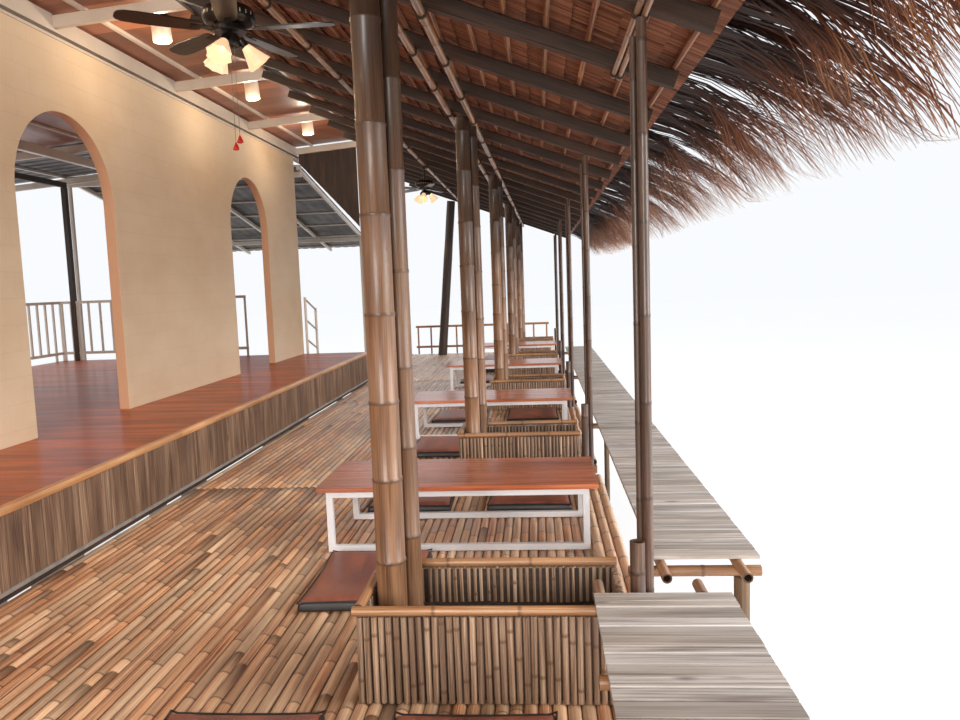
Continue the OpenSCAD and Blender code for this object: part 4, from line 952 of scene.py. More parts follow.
def sheet_roof(name, node, run, pitch, rib_h, material):
    """A ribbed metal sheet on a sloped CAD slab whose slope runs along one axis."""
    solid = solids(node)[0]
    centre, up = upright(solid)
    side = Y if run == 0 else X
    along = side.cross(up)
    reach = half_along(solid, centre, along)
    wide = half_along(solid, centre, side)
    thick = half_along(solid, centre, up)
    shape = Shape()
    base = centre - up * thick
    a = base - along * reach
    b = base + along * reach
    ribbed(shape, -wide, wide, a, b, side, up, pitch, ROOF_RIB_W, rib_h, ROOF_T)
    screw = [(0.009, 0.0), (0.009, 0.002), (0.005, 0.002), (0.005, 0.006), (0.001, 0.007)]
    count = int(2 * wide / pitch)
    start = -wide + (2 * wide - count * pitch) / 2
    rows = 6
    for r in range(rows):
        u = -reach + 0.1 + r * (2 * reach - 0.2) / (rows - 1)
        for k in range(0, count + 1, 2):
            s = min(max(start + k * pitch, -wide + 0.03), wide - 0.03)
            lathe(shape, base + up * 0.002 + along * u + side * s, up, along, screw, 6)
    piece(name, shape, [material], [node])


# Thatched lean-to

TIMBER_STEP = 0.7
ROD_THIN = 0.006
COURSE = 0.22
COURSE_LAP = 1.35
BUNDLE_W = 0.048
TUFT_W = 0.082
BUNDLE_T = 0.022
TUFT_T = 0.034
CORE_IN = 0.04
CORE_DROP = 0.006
FRINGE_TUFTS = 460
FRINGE_STEPS = 5
FRINGE_ROOT = 0.13
FRINGE_SIDE = 0.06
FRINGE_OUT = (0.16, 0.84)
FRINGE_FALL = (0.20, 0.46)
FRINGE_STRIPS = (9, 18)
FRINGE_W = (0.009, 0.020)
ROLL_LENGTHS = (0.25, 0.6)
TWINE_TURNS = 3
TWINE_PITCH = 0.009
FRINGE_IN = 0.004
WIRE_R = 0.0042
WIRE_STEPS = 12


def slope_frame(node):
    """Unit vectors down the slope and square to it, from the first sloped bar of a node."""
    axes = oriented(solids(node)[0])[1]
    down = axes[0] if axes[0].z < 0 else -axes[0]
    return down, down.cross(Y) if down.cross(Y).z > 0 else -down.cross(Y)


def timbers(name, node, material, wobble=0.002, chamfer=0.006):
    """Sawn timbers that are never quite straight."""
    shape = Shape()
    for solid in solids(node):
        centre, axes, half = oriented(solid)
        side, up = axes[1], axes[2]
        a = centre - axes[0] * half[0]
        steps = max(1, round(half[0] * 2 / TIMBER_STEP))
        outline = plank_outline(half[1] * 2 - 2 * wobble, half[2] * 2 - 2 * wobble, chamfer)
        tint = rng.random()
        n = len(outline)
        points = []
        grain = []
        for s in range(steps + 1):
            u = 2 * half[0] * s / steps
            shift = side * rng.uniform(-wobble, wobble) + up * rng.uniform(-wobble, wobble)
            for p in outline:
                points.append(a + axes[0] * u + shift + side * p[0] + up * p[1])
                grain.append((p[0] + p[1] * 0.6, u, tint))
        shape.add(points, band(steps + 1, n) + lids(steps + 1, n), grain)
    piece(name, shape, [material], [node])


def cover_frame():
    """The thatch cover's box and centre, its slope's unit vectors and its half sizes along them."""
    down, up = slope_frame("thatch_rafters")
    solid = solids("thatch_cover")[0]
    lo, hi = box_of(solid)
    centre = (lo + hi) / 2
    return lo, hi, centre, down, up, farthest(solid, centre, down), farthest(solid, centre, up)


def battens():
    """Rolls of leaf under the thatch, each held by a thin pale rod along its lower edge."""
    rolls = Shape()
    rods = Shape()
    down, up = slope_frame("thatch_rafters")
    for solid in solids("thatch_battens"):
        lo, hi = box_of(solid)
        mid = (lo + hi) / 2
        w = farthest(solid, mid, down)
        h = farthest(solid, mid, up)
        outline = [(-w, h), (-w, -0.2 * h), (-0.7 * w, -0.75 * h), (0, -0.9 * h), (0.7 * w, -0.75 * h)]
        outline += [(w, -0.2 * h), (w, h)]
        y = lo.y
        while y < hi.y - NEAR_END:
            end = min(hi.y, y + rng.uniform(*ROLL_LENGTHS))
            tilt = rng.uniform(0.9, 1.0)
            lobe = [(s * tilt, t) for s, t in outline]
            extrude(rolls, lobe, Vector((mid.x, y, mid.z)), Vector((mid.x, end, mid.z)), down, up)
            y = end + BUTT_GAP
        rod = mid + down * (0.35 * w) - up * (h - ROD_THIN)
        culm(rods, Vector((rod.x, lo.y, rod.z)), Vector((rod.x, hi.y, rod.z)), ROD_THIN, 0.6, 6)
    piece("thatch_rolls", rolls, [STRAW], ["thatch_battens"])
    piece("batten_rods", rods, [BATTEN, CUT_END], ["thatch_battens"])


def strand(shape, spine, width, tint):
    """A flat leaf strip that narrows to its tip; its ring value runs from 0 at the root to 1."""
    last = len(spine) - 1
    points = []
    grain = []
    rings = []
    along = 0.0
    for i, p in enumerate(spine):
        if i:
            along += (p - spine[i - 1]).length
        ahead = (spine[min(i + 1, last)] - spine[max(i - 1, 0)]).normalized()
        side = ahead.cross(Z if abs(ahead.z) < 0.95 else X).normalized()
        above = side.cross(ahead)
        w = width / 2 * (1 - 0.85 * (i / last) ** 2)
        for s, t in ((-w, 0.0), (w, 0.0), (0.0, w * 0.4)):
            points.append(p + side * s + above * t)
            grain.append((s, along, tint))
            rings.append(i / last)
    tips = [(0, 2, 1), (3 * last, 3 * last + 1, 3 * last + 2)]
    shape.add(points, tips + band(last + 1, 3), grain, rings)


def thatch():
    """Courses of leaf bundles: an even underside over the battens and ragged courses on top."""
    lo, hi, centre, down, up, reach, thick = cover_frame()
    length = hi.y - lo.y
    starts = [-reach + i * COURSE for i in range(int(2 * reach / COURSE) + 1)]

    def spots(width, low, high):
        """Where a course's bundles lie along the eave, and half their widths."""
        count = round(length / width)
        for k in range(count):
            y = lo.y + (k + 0.5) * length / count - centre.y
            w = width * rng.uniform(low, high)
            yield min(max(y, lo.y - centre.y + w), hi.y - centre.y - w), w

    under = Shape()
    for u0 in starts:
        u1 = min(reach, u0 + COURSE * COURSE_LAP)
        for y, w in spots(BUNDLE_W, 0.46, 0.56):
            lift = -thick + rng.uniform(0.0, 0.004)
            a = centre + Y * y + down * u0 + up * (lift + BUNDLE_T)
            b = centre + Y * (y + rng.uniform(-0.006, 0.006)) + down * u1 + up * lift
            outline = [(-w, 0.016), (-w, 0.004), (-w * 0.4, 0.0), (w * 0.4, 0.001), (w, 0.005), (w, 0.016)]
            extrude(under, outline, a, b, Y, up, caps=False)
    top = Shape()
    lift = thick - TUFT_T
    for u0 in starts:
        for y, w in spots(TUFT_W, 0.5, 0.62):
            u1 = min(reach, u0 + COURSE * rng.uniform(1.0, 1.22))
            a = centre + Y * y + down * u0 + up * (lift - 0.012)
            b = centre + Y * y + down * u1 + up * (lift + rng.uniform(0.012, 0.022))
            outline = [(-w, -0.01), (w, -0.01), (w, 0.004), (w * 0.3, 0.011), (-w * 0.4, 0.01), (-w, 0.003)]
            extrude(top, outline, a, b, Y, up)
    core = Shape()
    half = Y * (length - 0.02) / 2
    middle = centre - up * CORE_DROP
    slab = plank_outline(2 * reach, 2 * (thick - CORE_IN), 0.01)
    extrude(core, slab, middle - half, middle + half, down, up, across=1)
    piece("thatch_courses_under", under, [STRAW], ["thatch_cover"])
    piece("thatch_courses_top", top, [STRAW_TOP], ["thatch_cover"])
    piece("thatch_body", core, [STRAW], ["thatch_cover"])


def fringe():
    """Tufts of leaf strips that leave the eave along the slope and hang down over the river."""
    centre, down, up, reach, thick = cover_frame()[2:]
    lo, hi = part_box("thatch_fringe")
    shape = Shape()
    for _ in range(FRINGE_TUFTS):
        middle = lo.y + FRINGE_SIDE + (hi.y - lo.y - 2 * FRINGE_SIDE) * rng.random()
        layer = rng.random()
        out = rng.uniform(*FRINGE_OUT)
        fall = rng.uniform(*FRINGE_FALL)
        sway = rng.gauss(0, 0.05)
        for _ in range(rng.randrange(*FRINGE_STRIPS)):
            y = middle + rng.gauss(0, 0.04)
            start = centre + Y * (y - centre.y) + down * (reach - FRINGE_ROOT)
            start += up * thick * (1.7 * layer - 0.85)
            bend = start + down * (FRINGE_ROOT + out * rng.uniform(0.85, 1.05)) + up * (0.03 + 0.05 * layer)
            tip_x = rng.uniform(0.04, 0.20)
            tip_y = sway + rng.gauss(0, 0.03)
            tip = bend + Vector((tip_x, tip_y, -fall * rng.uniform(0.7, 1.15)))
            spine = []
            for i in range(FRINGE_STEPS):
                t = i / (FRINGE_STEPS - 1)
                p = start * (1 - t) ** 2 + bend * (2 * t * (1 - t)) + tip * t * t
                p.x = min(p.x, hi.x - FRINGE_IN)
                p.z = max(p.z, lo.z + FRINGE_IN)
                p.y = min(max(p.y, lo.y + FRINGE_IN), hi.y - FRINGE_IN)
                spine.append(p)
            strand(shape, spine, rng.uniform(*FRINGE_W), rng.random())
    piece("fringe_strands", shape, [FRINGE], ["thatch_fringe"])


def lashings():
    """Twine wound round the long poles under each rafter."""
    shape = Shape()
    rafters = [oriented(s)[0].y for s in solids("thatch_rafters")]
    for solid in solids("lashed_poles"):
        a, b, r = ends(solid)[:3]
        along, side, up = frame_of(a, b)
        for y in rafters:
            t = (y - a.y) / (b.y - a.y)
            if not 0.002 < t < 0.998:
                continue
            spot = a + (b - a) * t
            for turn in range(TWINE_TURNS):
                shift = along * (turn - 1) * TWINE_PITCH
                wrap = side * rng.uniform(-0.001, 0.001)
                points = []
                for j in range(WIRE_STEPS):
                    out = between(side, up, TURN * j / WIRE_STEPS)
                    centre = spot + shift + wrap + out * (r + WIRE_R * 0.6)
                    points += [centre + between(out, along, TURN / 4 * m) * WIRE_R for m in range(4)]
                grain = [(0.0, 0.02 * i, rng.random()) for i in range(len(points))]
                shape.add(points, band(WIRE_STEPS, 4, closed=True), grain)
    piece("twine_lashings", shape, [TWINE])


# Posts, planters, counter, tables

STUB_R = 0.025
FLAT_RISE = 0.1
LOG_R = 0.08
LOG_STEPS = 24
COUNTER_PLANK = 0.07
TABLE_BOARD = 0.105
PLANTER_R = 0.0138
PLANTER_PITCH = 0.0292
PLANTER_IN = 0.0135
LINING_T = 0.003
LINING_IN = 1.6 * PLANTER_IN
SOIL_IN = 0.022
SOIL_DEPTH = 0.145
SOIL_CLOD = 0.011


def stub_top(a, b, r):
    """Only the thick cut-off culms are open, and only at their tops."""
    return False, r > STUB_R


def flat_ends(a, b, r):
    """Poles that lie flat are open at both ends."""
    flat = abs(b.z - a.z) < FLAT_RISE
    return flat, flat


def posts():
    """Inner and outer culms, the logs and posts at the deck's ends, and the long lashed poles."""
    culm_node("inner_culms", "inner_posts", "bamboo", POST_CULM, 0.36, 28, taper=0.06, bend=0.004)
    culm_node("outer_culms", "outer_posts", "dark_bamboo", DARK_CULM, 0.34, 20, hollow=stub_top)
    shape = Shape()
    for solid in solids("end_posts"):
        a, b, half_w, half_h = ends(solid)
        if half_w > LOG_R:
            rows = []
            side, up = frame_of(a, b)[1:]
            for s in range(LOG_STEPS + 1):
                t = s / LOG_STEPS
                wave = 0.93 + 0.06 * noise.noise(Vector((t * 7, 1.7, 0))) - 0.05 * t
                rows.append((a + (b - a) * t, side, up, half_w * wave, t * (b - a).length, 0.0))
            tube(shape, rows, 24, 0.4)
        else:
            bar(shape, a, b, half_w * 2, half_h * 2, 0.006)
    piece("end_logs", shape, [TIMBER], ["end_posts"])
    culm_node("long_poles", "lashed_poles", "bamboo", CULM, 0.36, 10)


def soil_bed(shape, lo, hi, nx=22, ny=10):
    """A rough sheet of earth inside a planter, below its rim."""
    points = []
    for i in range(nx + 1):
        for k in range(ny + 1):
            x = lo.x + SOIL_IN + (hi.x - lo.x - 2 * SOIL_IN) * i / nx
            y = lo.y + SOIL_IN + (hi.y - lo.y - 2 * SOIL_IN) * k / ny
            clod = SOIL_CLOD * noise.noise(Vector((x * 9, y * 9, 0)))
            points.append(Vector((x, y, hi.z - SOIL_DEPTH - 0.012 + clod)))
    row = ny + 1
    faces = [(i * row + k, (i + 1) * row + k, (i + 1) * row + k + 1, i * row + k + 1)
             for i in range(nx) for k in range(ny)]
    shape.add(points, faces, [(p.x, p.y, 0.5) for p in points])


def planters():
    """Rows of upright culms round each planter, a lining behind them in dark timber that paints the shade in
    their gaps, and soil inside.
    """
    shape = Shape()
    earth = Shape()
    lining = Shape()
    for solid in solids("planter_boxes"):
        lo, hi = box_of(solid)
        left, right = lo.x + PLANTER_IN, hi.x - PLANTER_IN
        front, back = lo.y + PLANTER_IN, hi.y - PLANTER_IN
        wide = hi.x - lo.x - 2 * PLANTER_IN
        deep = hi.y - lo.y - 2 * PLANTER_IN
        count = round(wide / PLANTER_PITCH)
        spots = [(left + wide * k / count, y) for y in (front, back) for k in range(count + 1)]
        count = round(deep / PLANTER_PITCH)
        spots += [(x, front + deep * k / count) for x in (left, right) for k in range(1, count)]
        for x, y in spots:
            foot = Vector((x + rng.uniform(-0.002, 0.002), y, lo.z))
            head = Vector((x + rng.uniform(-0.003, 0.003), y, hi.z - rng.uniform(0.0, 0.004)))
            culm(shape, foot, head, PLANTER_R * rng.uniform(0.86, 0.96), 0.3, 8)
        z = (lo.z + hi.z) / 2
        # The linings stand just behind the culms; their dark timber is painted shade in the gaps.
        sides = [((x, front, z), (x, back, z)) for x in (lo.x + LINING_IN, hi.x - LINING_IN)]
        sides += [((left, y, z), (right, y, z)) for y in (lo.y + LINING_IN, hi.y - LINING_IN)]
        for a, b in sides:
            bar(lining, Vector(a), Vector(b), LINING_T, hi.z - lo.z - 4 * LINING_T, 0.0005)
        soil_bed(earth, lo, hi)
    piece("planter_culms", shape, [PLANTER_CULM, CUT_END], ["planter_boxes"])
    piece("planter_linings", lining, [TIMBER], ["planter_boxes"])
    piece("planter_soil", earth, [SOIL], ["planter_boxes"])
    culm_node("planter_rail_culms", "planter_rails", "bamboo", CULM, 0.34, 14, hollow=BOTH)


def counter():
    """Weathered planks across the riverside counter, and the poles that carry it."""
    shape = Shape()
    for solid in solids("counter_planks"):
        lo, hi = box_of(solid)
        boards(shape, lo, hi, 0, 1, COUNTER_PLANK, 0.0055, 0.003, 0.2, 0.004)
    piece("counter_boards", shape, [PLANK], ["counter_planks"])
    culm_node("counter_culms", "counter_poles", "bamboo", CULM, 0.33, 14, hollow=flat_ends)


def tables():
    """Polished boards on the low tables, over frames of white tube."""
    shape = Shape()
    for solid in solids("table_tops"):
        lo, hi = box_of(solid)
        boards(shape, lo, hi, 0, 1, TABLE_BOARD, 0.0015, 0.0015)
    piece("table_boards", shape, [TABLE], ["table_tops"])
    dress("table_frames", FRAME_WHITE, 0.003)


# Cushions

CUSHION_COLUMNS = 14
CUSHION_ROWS = 18
CUSHION_BANDS = 2
CUSHION_TUCK = 0.011
PUFF_FRAMES = 20
PUFF_CAP = 0.012
SEAM_R = 0.0042


def cushion_mesh(size):
    """A closed pad with grids on top and underneath and a band round its side."""
    w, l, h = size
    points = []
    faces = []
    spots = {}

    def point(i, j, k):
        key = (i, j, k)
        if key not in spots:
            s = i / CUSHION_COLUMNS * 2 - 1
            t = j / CUSHION_ROWS * 2 - 1
            pull = CUSHION_TUCK * (1 - s * s) * (abs(t) ** 10)
            tuck = CUSHION_TUCK * (1 - t * t) * (abs(s) ** 10)
            x = s * (w / 2 - tuck)
            y = t * (l / 2 - pull)
            crown = 0.10 * (1 - s ** 4) * (1 - t ** 4)
            z = h * (k / CUSHION_BANDS) * (0.88 + crown)
            spots[key] = len(points)
            points.append(Vector((x, y, z)))
        return spots[key]

    for k in (0, CUSHION_BANDS):
        for i in range(CUSHION_COLUMNS):
            for j in range(CUSHION_ROWS):
                quad = [point(i, j, k), point(i + 1, j, k), point(i + 1, j + 1, k), point(i, j + 1, k)]
                faces.append(tuple(quad if k else reversed(quad)))
    rim = [(i, 0) for i in range(CUSHION_COLUMNS)] + [(CUSHION_COLUMNS, j) for j in range(CUSHION_ROWS)]
    rim += [(i, CUSHION_ROWS) for i in range(CUSHION_COLUMNS, 0, -1)]
    rim += [(0, j) for j in range(CUSHION_ROWS, 0, -1)]
    for n, (i, j) in enumerate(rim):
        i2, j2 = rim[(n + 1) % len(rim)]
        for k in range(CUSHION_BANDS):
            faces.append((point(i, j, k), point(i2, j2, k), point(i2, j2, k + 1), point(i, j, k + 1)))
    top_rim = [point(i, j, CUSHION_BANDS) for i, j in rim]
    mesh = bpy.data.meshes.new("cushion_pad")
    mesh.from_pydata(points, [], faces)
    mesh.update()
    return mesh, top_rim


def puff(obj, cap):
    """Fills a pad by cloth pressure and keeps each point within a small distance of where it began."""
    before = [v.co.copy() for v in obj.data.vertices]
    pins = obj.vertex_groups.new(name="pins")
    for v in obj.data.vertices:
        pins.add([v.index], 1.0 if v.co.z < 0.001 else 0.0, "REPLACE")
    cloth = obj.modifiers.new("puff", "CLOTH")
    cloth.settings.vertex_group_mass = "pins"
    cloth.settings.quality = 8
    cloth.settings.use_pressure = True
    cloth.settings.uniform_pressure_force = 4.0
    cloth.settings.effector_weights.gravity = 0.0
    cloth.settings.bending_stiffness = 1.5
    scene = bpy.context.scene
    for f in range(1, PUFF_FRAMES + 1):
        scene.frame_set(f)
    graph = bpy.context.evaluated_depsgraph_get()
    after = [v.co.copy() for v in obj.evaluated_get(graph).data.vertices]
    scene.frame_set(1)
    obj.modifiers.clear()
    obj.vertex_groups.clear()
    for v, a, b in zip(obj.data.vertices, before, after):
        move = b - a
        if move.length > cap:
            move *= cap / move.length
        v.co = a + move
        v.co.z = max(v.co.z, 0.0)


def piping(shape, loop, radius, sides=6):
    """A round seam along a closed loop of points."""
    n = len(loop)
    points = []
    for i, p in enumerate(loop):
        ahead = (loop[(i + 1) % n] - loop[i - 1]).normalized()
        side = ahead.cross(Z).normalized()
        up = side.cross(ahead)
        for k in range(sides):
            points.append(p + between(side, up, TURN * k / sides) * radius)
    shape.add(points, band(n, sides, closed=True), [(0.0, 0.0, 0.5)] * len(points), None, 1)


def cushions():
    """One pad is filled by simulation; each cushion is a slightly turned copy with a seam round its top."""
    places = [box_of(s) for s in solids("floor_cushions")]
    size = places[0][1] - places[0][0]
    mesh, rim = cushion_mesh((size.x - 0.012, size.y - 0.012, size.z - 0.008))
    pad = bpy.data.objects.new("cushion_model", mesh)
    bpy.context.scene.collection.objects.link(pad)
    puff(pad, PUFF_CAP)
    smooth = pad.modifiers.new("smooth", "SUBSURF")
    smooth.levels = 1
    graph = bpy.context.evaluated_depsgraph_get()
    done = bpy.data.meshes.new_from_object(pad.evaluated_get(graph))
    loop = [v.co.copy() for v in (mesh.vertices[i] for i in rim)]
    points = [v.co.copy() for v in done.vertices]
    top = max(p.z for p in points)
    scale = min(1.0, (size.z + 0.004) / top)
    for i, (lo, hi) in enumerate(places):
        mid = (lo + hi) / 2
        turn = Matrix.Rotation(math.radians(rng.uniform(-1.2, 1.2)), 4, "Z")
        base = Vector((mid.x, mid.y, lo.z))

        def moved(p):
            """A point of the model in this cushion's place."""
            q = turn @ Vector((p.x, p.y, p.z * scale))
            return base + q

        shape = Shape()
        faces = [tuple(f.vertices) for f in done.polygons]
        shape.add([moved(p) for p in points], faces, [(p.x, p.y, i / len(places)) for p in points])
        shape.mats = [0 if abs(f.normal.z) > 0.6 else 1 for f in done.polygons]
        piping(shape, [moved(p) + Vector((0, 0, 0.001)) for p in loop], SEAM_R)
        cushion = piece(f"cushion_{i + 1}", shape, [BROWN, BLACK_SIDE], ["floor_cushions"],
                        angle=70)
    bpy.data.objects.remove(pad)


# Lamps and fans

def downlights():
    """Frosted tubes under the ceiling, each with a metal collar and a bright foot."""
    shape = Shape()
    for solid in solids("downlights"):
        centre, axes = oriented(solid)[:2]
        lo, hi = box_of(solid)
        r = (hi.y - lo.y) / 2
        axis = max(axes, key=lambda a: abs(a.z))
        axis = -axis if axis.z > 0 else axis
        h = half_along(solid, centre, axis)
        top = centre - axis * h
        collar = [(r * 0.99, 0.0), (r, 0.003), (r, 0.022), (r * 0.94, 0.025), (r * 0.94, 0.0)]
        lathe(shape, top, axis, Y, collar + collar[:1], 32, mat=2)
        profile = [(r * 0.93, 0.002), (r * 0.93, 2 * h - 0.012), (r * 0.90, 2 * h - 0.003), (r * 0.84, 2 * h)]
        profile += [(r * 0.78, 2 * h - 0.006), (r * 0.76, 2 * h - 0.02), (0.0005, 2 * h - 0.02)]
        lathe(shape, top, axis, Y, profile, 32)
        face = [(0.0005, 2 * h - 0.004), (r * 0.30, 2 * h - 0.005), (r * 0.55, 2 * h - 0.010)]
        face += [(r * 0.72, 2 * h - 0.018), (0.0005, 2 * h - 0.0185)]
        lathe(shape, top, axis, Y, face, 28, mat=1)
    piece("downlight_tubes", shape, [TUBE_GLASS, LAMP, METAL], ["downlights"])


ROD_R = 0.013
ROSE_H = 0.045
CUP_R = 0.05
CUP_H = 0.07
HOUSING_R = 0.135
HOUSING_H = 0.1
FAN_GAP = 0.008
ARM_L = 0.057
LAMP_TILT = math.radians(39)
LAMP_TURN = math.radians(26)
SHADES = 3
SHADE_L = 0.11
SHADE_R = 0.063
NECK_R = 0.024
HOLDER_UP = 0.02
HOLDER_L = 0.05
BLADES = 5
BLADE_T = 0.006
BLADE_PITCH = math.radians(9)
BLADE_SECTIONS = ((0.145, 0.072), (0.17, 0.094), (0.25, 0.108), (0.36, 0.116), (0.46, 0.119), (0.52, 0.108),
                  (0.548, 0.080), (0.5585, 0.040))
HUB_R = 0.085
HUB_HALF = 0.0149
HUB_BORE = ROD_R + 0.0002
HIGHLIGHT_BARS = 24
CHAIN_R = 0.0015
CHAIN_BEAD = 0.004
CHAIN_STEPS = 30
CHAINS = (("pull_chain_long", (0.006, -0.031), 0.49), ("pull_chain_short", (0.030, -0.031), 0.455))


def shade_reach(t):
    """The tulip's radius, from its neck at 0 to its rim at 1."""
    return NECK_R + (SHADE_R - NECK_R) * (0.62 * math.sin(t * math.pi / 2) + 0.38 * t * t)


def shade(shape, top, axis, side):
    """A tulip shade: eight soft lobes that grow into a ruffled rim."""
    steps = 9
    wall = 0.003
    outer = [(shade_reach(k / steps), SHADE_L * k / steps) for k in range(steps + 1)]
    inner = [(r - wall, h) for r, h in reversed(outer)]

    def lobes(r, h, a):
        """How much the glass swells at a height and an angle."""
        t = h / SHADE_L
        return 1 + 0.075 * t * t * math.cos(8 * a) + 0.02 * t * math.cos(16 * a)

    lathe(shape, top, axis, side, outer + inner + outer[:1], 48, ruffle=lobes)


def fan_axis(rotor):
    """The middle of the rod that carries a rotor, and the height of its top."""
    lo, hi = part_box(rotor)
    near = [s for s in solids("fan_mounts") if abs(s[:, 1].mean() - (lo.y + hi.y) / 2) < 1]
    rod_lo, rod_hi = box_of(max(near, key=lambda s: s[:, 2].max()))
    return (rod_lo + rod_hi) / 2, rod_hi.z


def turning_parts(centre, middle):
    """The hub's ring with five pitched blades on their irons."""
    shape = Shape()
    mid = Vector((centre.x, centre.y, middle))
    ring = [(HUB_BORE, -HUB_HALF), (HUB_R * 0.96, -HUB_HALF), (HUB_R, -0.011), (HUB_R, 0.011)]
    ring += [(HUB_R * 0.96, HUB_HALF), (HUB_BORE, HUB_HALF), (HUB_BORE, -HUB_HALF)]
    lathe(shape, mid, Z, X, ring, 40, mat=1)
    t = BLADE_T / 2
    for k in range(BLADES):
        out = between(X, Y, TURN * k / BLADES)
        slant = between(Z.cross(out), Z, BLADE_PITCH)
        above = out.cross(slant).normalized()
        points = []
        grain = []
        for r, w in BLADE_SECTIONS:
            for u, v in ((-w / 2, -t), (w / 2, -t), (w / 2, t), (-w / 2, t)):
                points.append(mid + out * r + slant * u + above * v)
                grain.append((u, r, k / BLADES))
        n = len(BLADE_SECTIONS)
        shape.add(points, band(n, 4) + lids(n, 4), grain)
        iron = [(-0.016, -0.002), (0.016, -0.002), (0.016, 0.002), (-0.016, 0.002)]
        extrude(shape, iron, mid + out * 0.07, mid + out * 0.2 - above * 0.004, slant, above, 0.5, 1)
    return shape


def fan(name, rotor, body):
    """One ceiling fan: rod, motor housing, turning blades, lamp cup, arms and shades."""
    centre, top = fan_axis(rotor)
    lo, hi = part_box(rotor)
    hub_lo, hub_hi = lo.z, hi.z
    metal = Shape()

    def turned(z, profile):
        """A turned metal part on the rod's axis."""
        lathe(metal, Vector((centre.x, centre.y, z)), Z, X, profile, 40)

    turned(top - ROSE_H, [(0.030, 0.0), (0.034, 0.006), (0.040, 0.02), (0.044, 0.036), (0.045, ROSE_H)])
    housing = hub_hi + FAN_GAP
    turned(housing, [(0.078, 0.0), (0.112, 0.003), (0.128, 0.014), (HOUSING_R, 0.032), (HOUSING_R, 0.056),
                     (0.126, 0.076), (0.104, 0.092), (0.062, HOUSING_H), (0.030, HOUSING_H),
                     (ROD_R, HOUSING_H), (ROD_R, top - ROSE_H - housing)])
    # Pale bars round the housing's side paint its highlights.
    for k in range(HIGHLIGHT_BARS):
        out = between(X, Y, TURN * k / HIGHLIGHT_BARS)
        low = Vector((centre.x, centre.y, housing + 0.035)) + out * (HOUSING_R - 0.002)
        bar(metal, low, low + Z * 0.018, 0.008, 0.004, 0.0015, out, mat=1)
    cup = hub_lo - FAN_GAP - CUP_H
    turned(cup + CUP_H, [(ROD_R, 0.0), (ROD_R, housing - cup - CUP_H)])
    turned(cup, [(0.030, 0.0), (0.042, 0.004), (0.049, 0.016), (CUP_R, 0.03), (CUP_R, 0.052), (0.040, CUP_H)])
    glass = Shape()
    for k in range(SHADES):
        out = between(X, Y, LAMP_TURN + TURN * k / SHADES)
        side = Z.cross(out)
        hub = Vector((centre.x, centre.y, cup + CUP_H / 2))
        arm = [hub + out * ARM_L * t + Z * 0.006 * math.sin(math.pi * t) for t in (0.4, 0.55, 0.7, 0.85, 1.0)]
        rows = [(p, side, Z, 0.008, i * 0.015, 0.0) for i, p in enumerate(arm)]
        tube(metal, rows, 10, 0.5)
        axis = (out * math.sin(LAMP_TILT) - Z * math.cos(LAMP_TILT)).normalized()
        joint = hub + out * ARM_L
        holder = [(0.010, -HOLDER_UP), (0.021, -HOLDER_UP + 0.006), (0.0225, 0.0), (0.0225, 0.012)]
        holder.append((0.019, 0.03))
        lathe(metal, joint, axis, side, holder, 20)
        shade(glass, joint + axis * (HOLDER_L - HOLDER_UP), axis, side)
        bulb = [(0.0005, 0.028), (0.009, 0.03), (0.013, 0.038), (0.014, 0.046), (0.009, 0.056)]
        bulb.append((0.0005, 0.059))
        lathe(glass, joint, axis, side, bulb, 16, mat=1)
    piece(f"{name}_metal", metal, [METAL, PAINTED_HIGHLIGHT], ["fan_mounts"])
    piece(f"{name}_shades", glass, [SHADE, LAMP], ["fan_shades"], angle=60)
    turning = turning_parts(centre, (hub_lo + hub_hi) / 2)
    piece(f"{name}_blades", turning, [BLADE, METAL], [rotor], body)


def pull_chains():
    """Two ball chains that hang from the first fan's lamp cup, each with a red tag."""
    axis = fan_axis("fan_rotor_near")[0]
    cup = Vector((axis.x, axis.y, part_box("fan_rotor_near")[0].z - FAN_GAP - CUP_H))
    for node, (dx, dy), length in CHAINS:
        spots = [cup + Vector((dx, dy, -length * k / CHAIN_STEPS)) for k in range(CHAIN_STEPS + 1)]
        beads = round(length / CHAIN_BEAD)
        rows = []
        for k in range(2 * beads + 1):
            along = length * k / (2 * beads)
            rows.append((spots[0] - Z * along, X, Y, CHAIN_R * (1.0 if k % 2 else 0.8), along, 0.0))
        shape = Shape()
        tube(shape, rows, 8, 0.5)
        chain = piece(node + "_beads", shape, [CHAIN], [node])
        drop = Shape()
        outline = [(0.0031, 0.0), (0.006, 0.007), (0.0125, 0.022), (0.0168, 0.031), (0.0162, 0.036)]
        outline += [(0.011, 0.0405), (0.0006, 0.0418)]
        lathe(drop, spots[-1], -Z, X, outline, 20)
        tag = piece(node + "_tag", drop, [RED], ["chain_tags"], angle=60)
        tuple(spots[0])
        [tuple(p) for p in spots]


# Camera, light and floor

FOCAL_PX = 784
FRAME_PX = 960
SENSOR = 36
FLOOR_HALF = 120
GLOW_DROP = 0.07


def linked(name, data):
    """A new object in the scene."""
    obj = bpy.data.objects.new(name, data)
    bpy.context.scene.collection.objects.link(obj)
    return obj


def photo_camera():
    """The photo's viewpoint."""
    right = Vector((0.9968, 0.0722, -0.0352))
    down = Vector((-0.0277, -0.1000, -0.9944))
    into = Vector((-0.0753, 0.9924, -0.1001))
    eye = local(2.85, 0.32, 4.4)
    data = bpy.data.cameras.new("photo_camera")
    data.sensor_width = SENSOR
    data.lens = FOCAL_PX / FRAME_PX * data.sensor_width
    data.clip_start = 0.02
    data.clip_end = 500
    camera = linked("photo_camera", data)
    turn = Matrix((right, -down, -into)).transposed().to_4x4()
    camera.matrix_world = Matrix.Translation(eye) @ turn
    bpy.context.scene.camera = camera


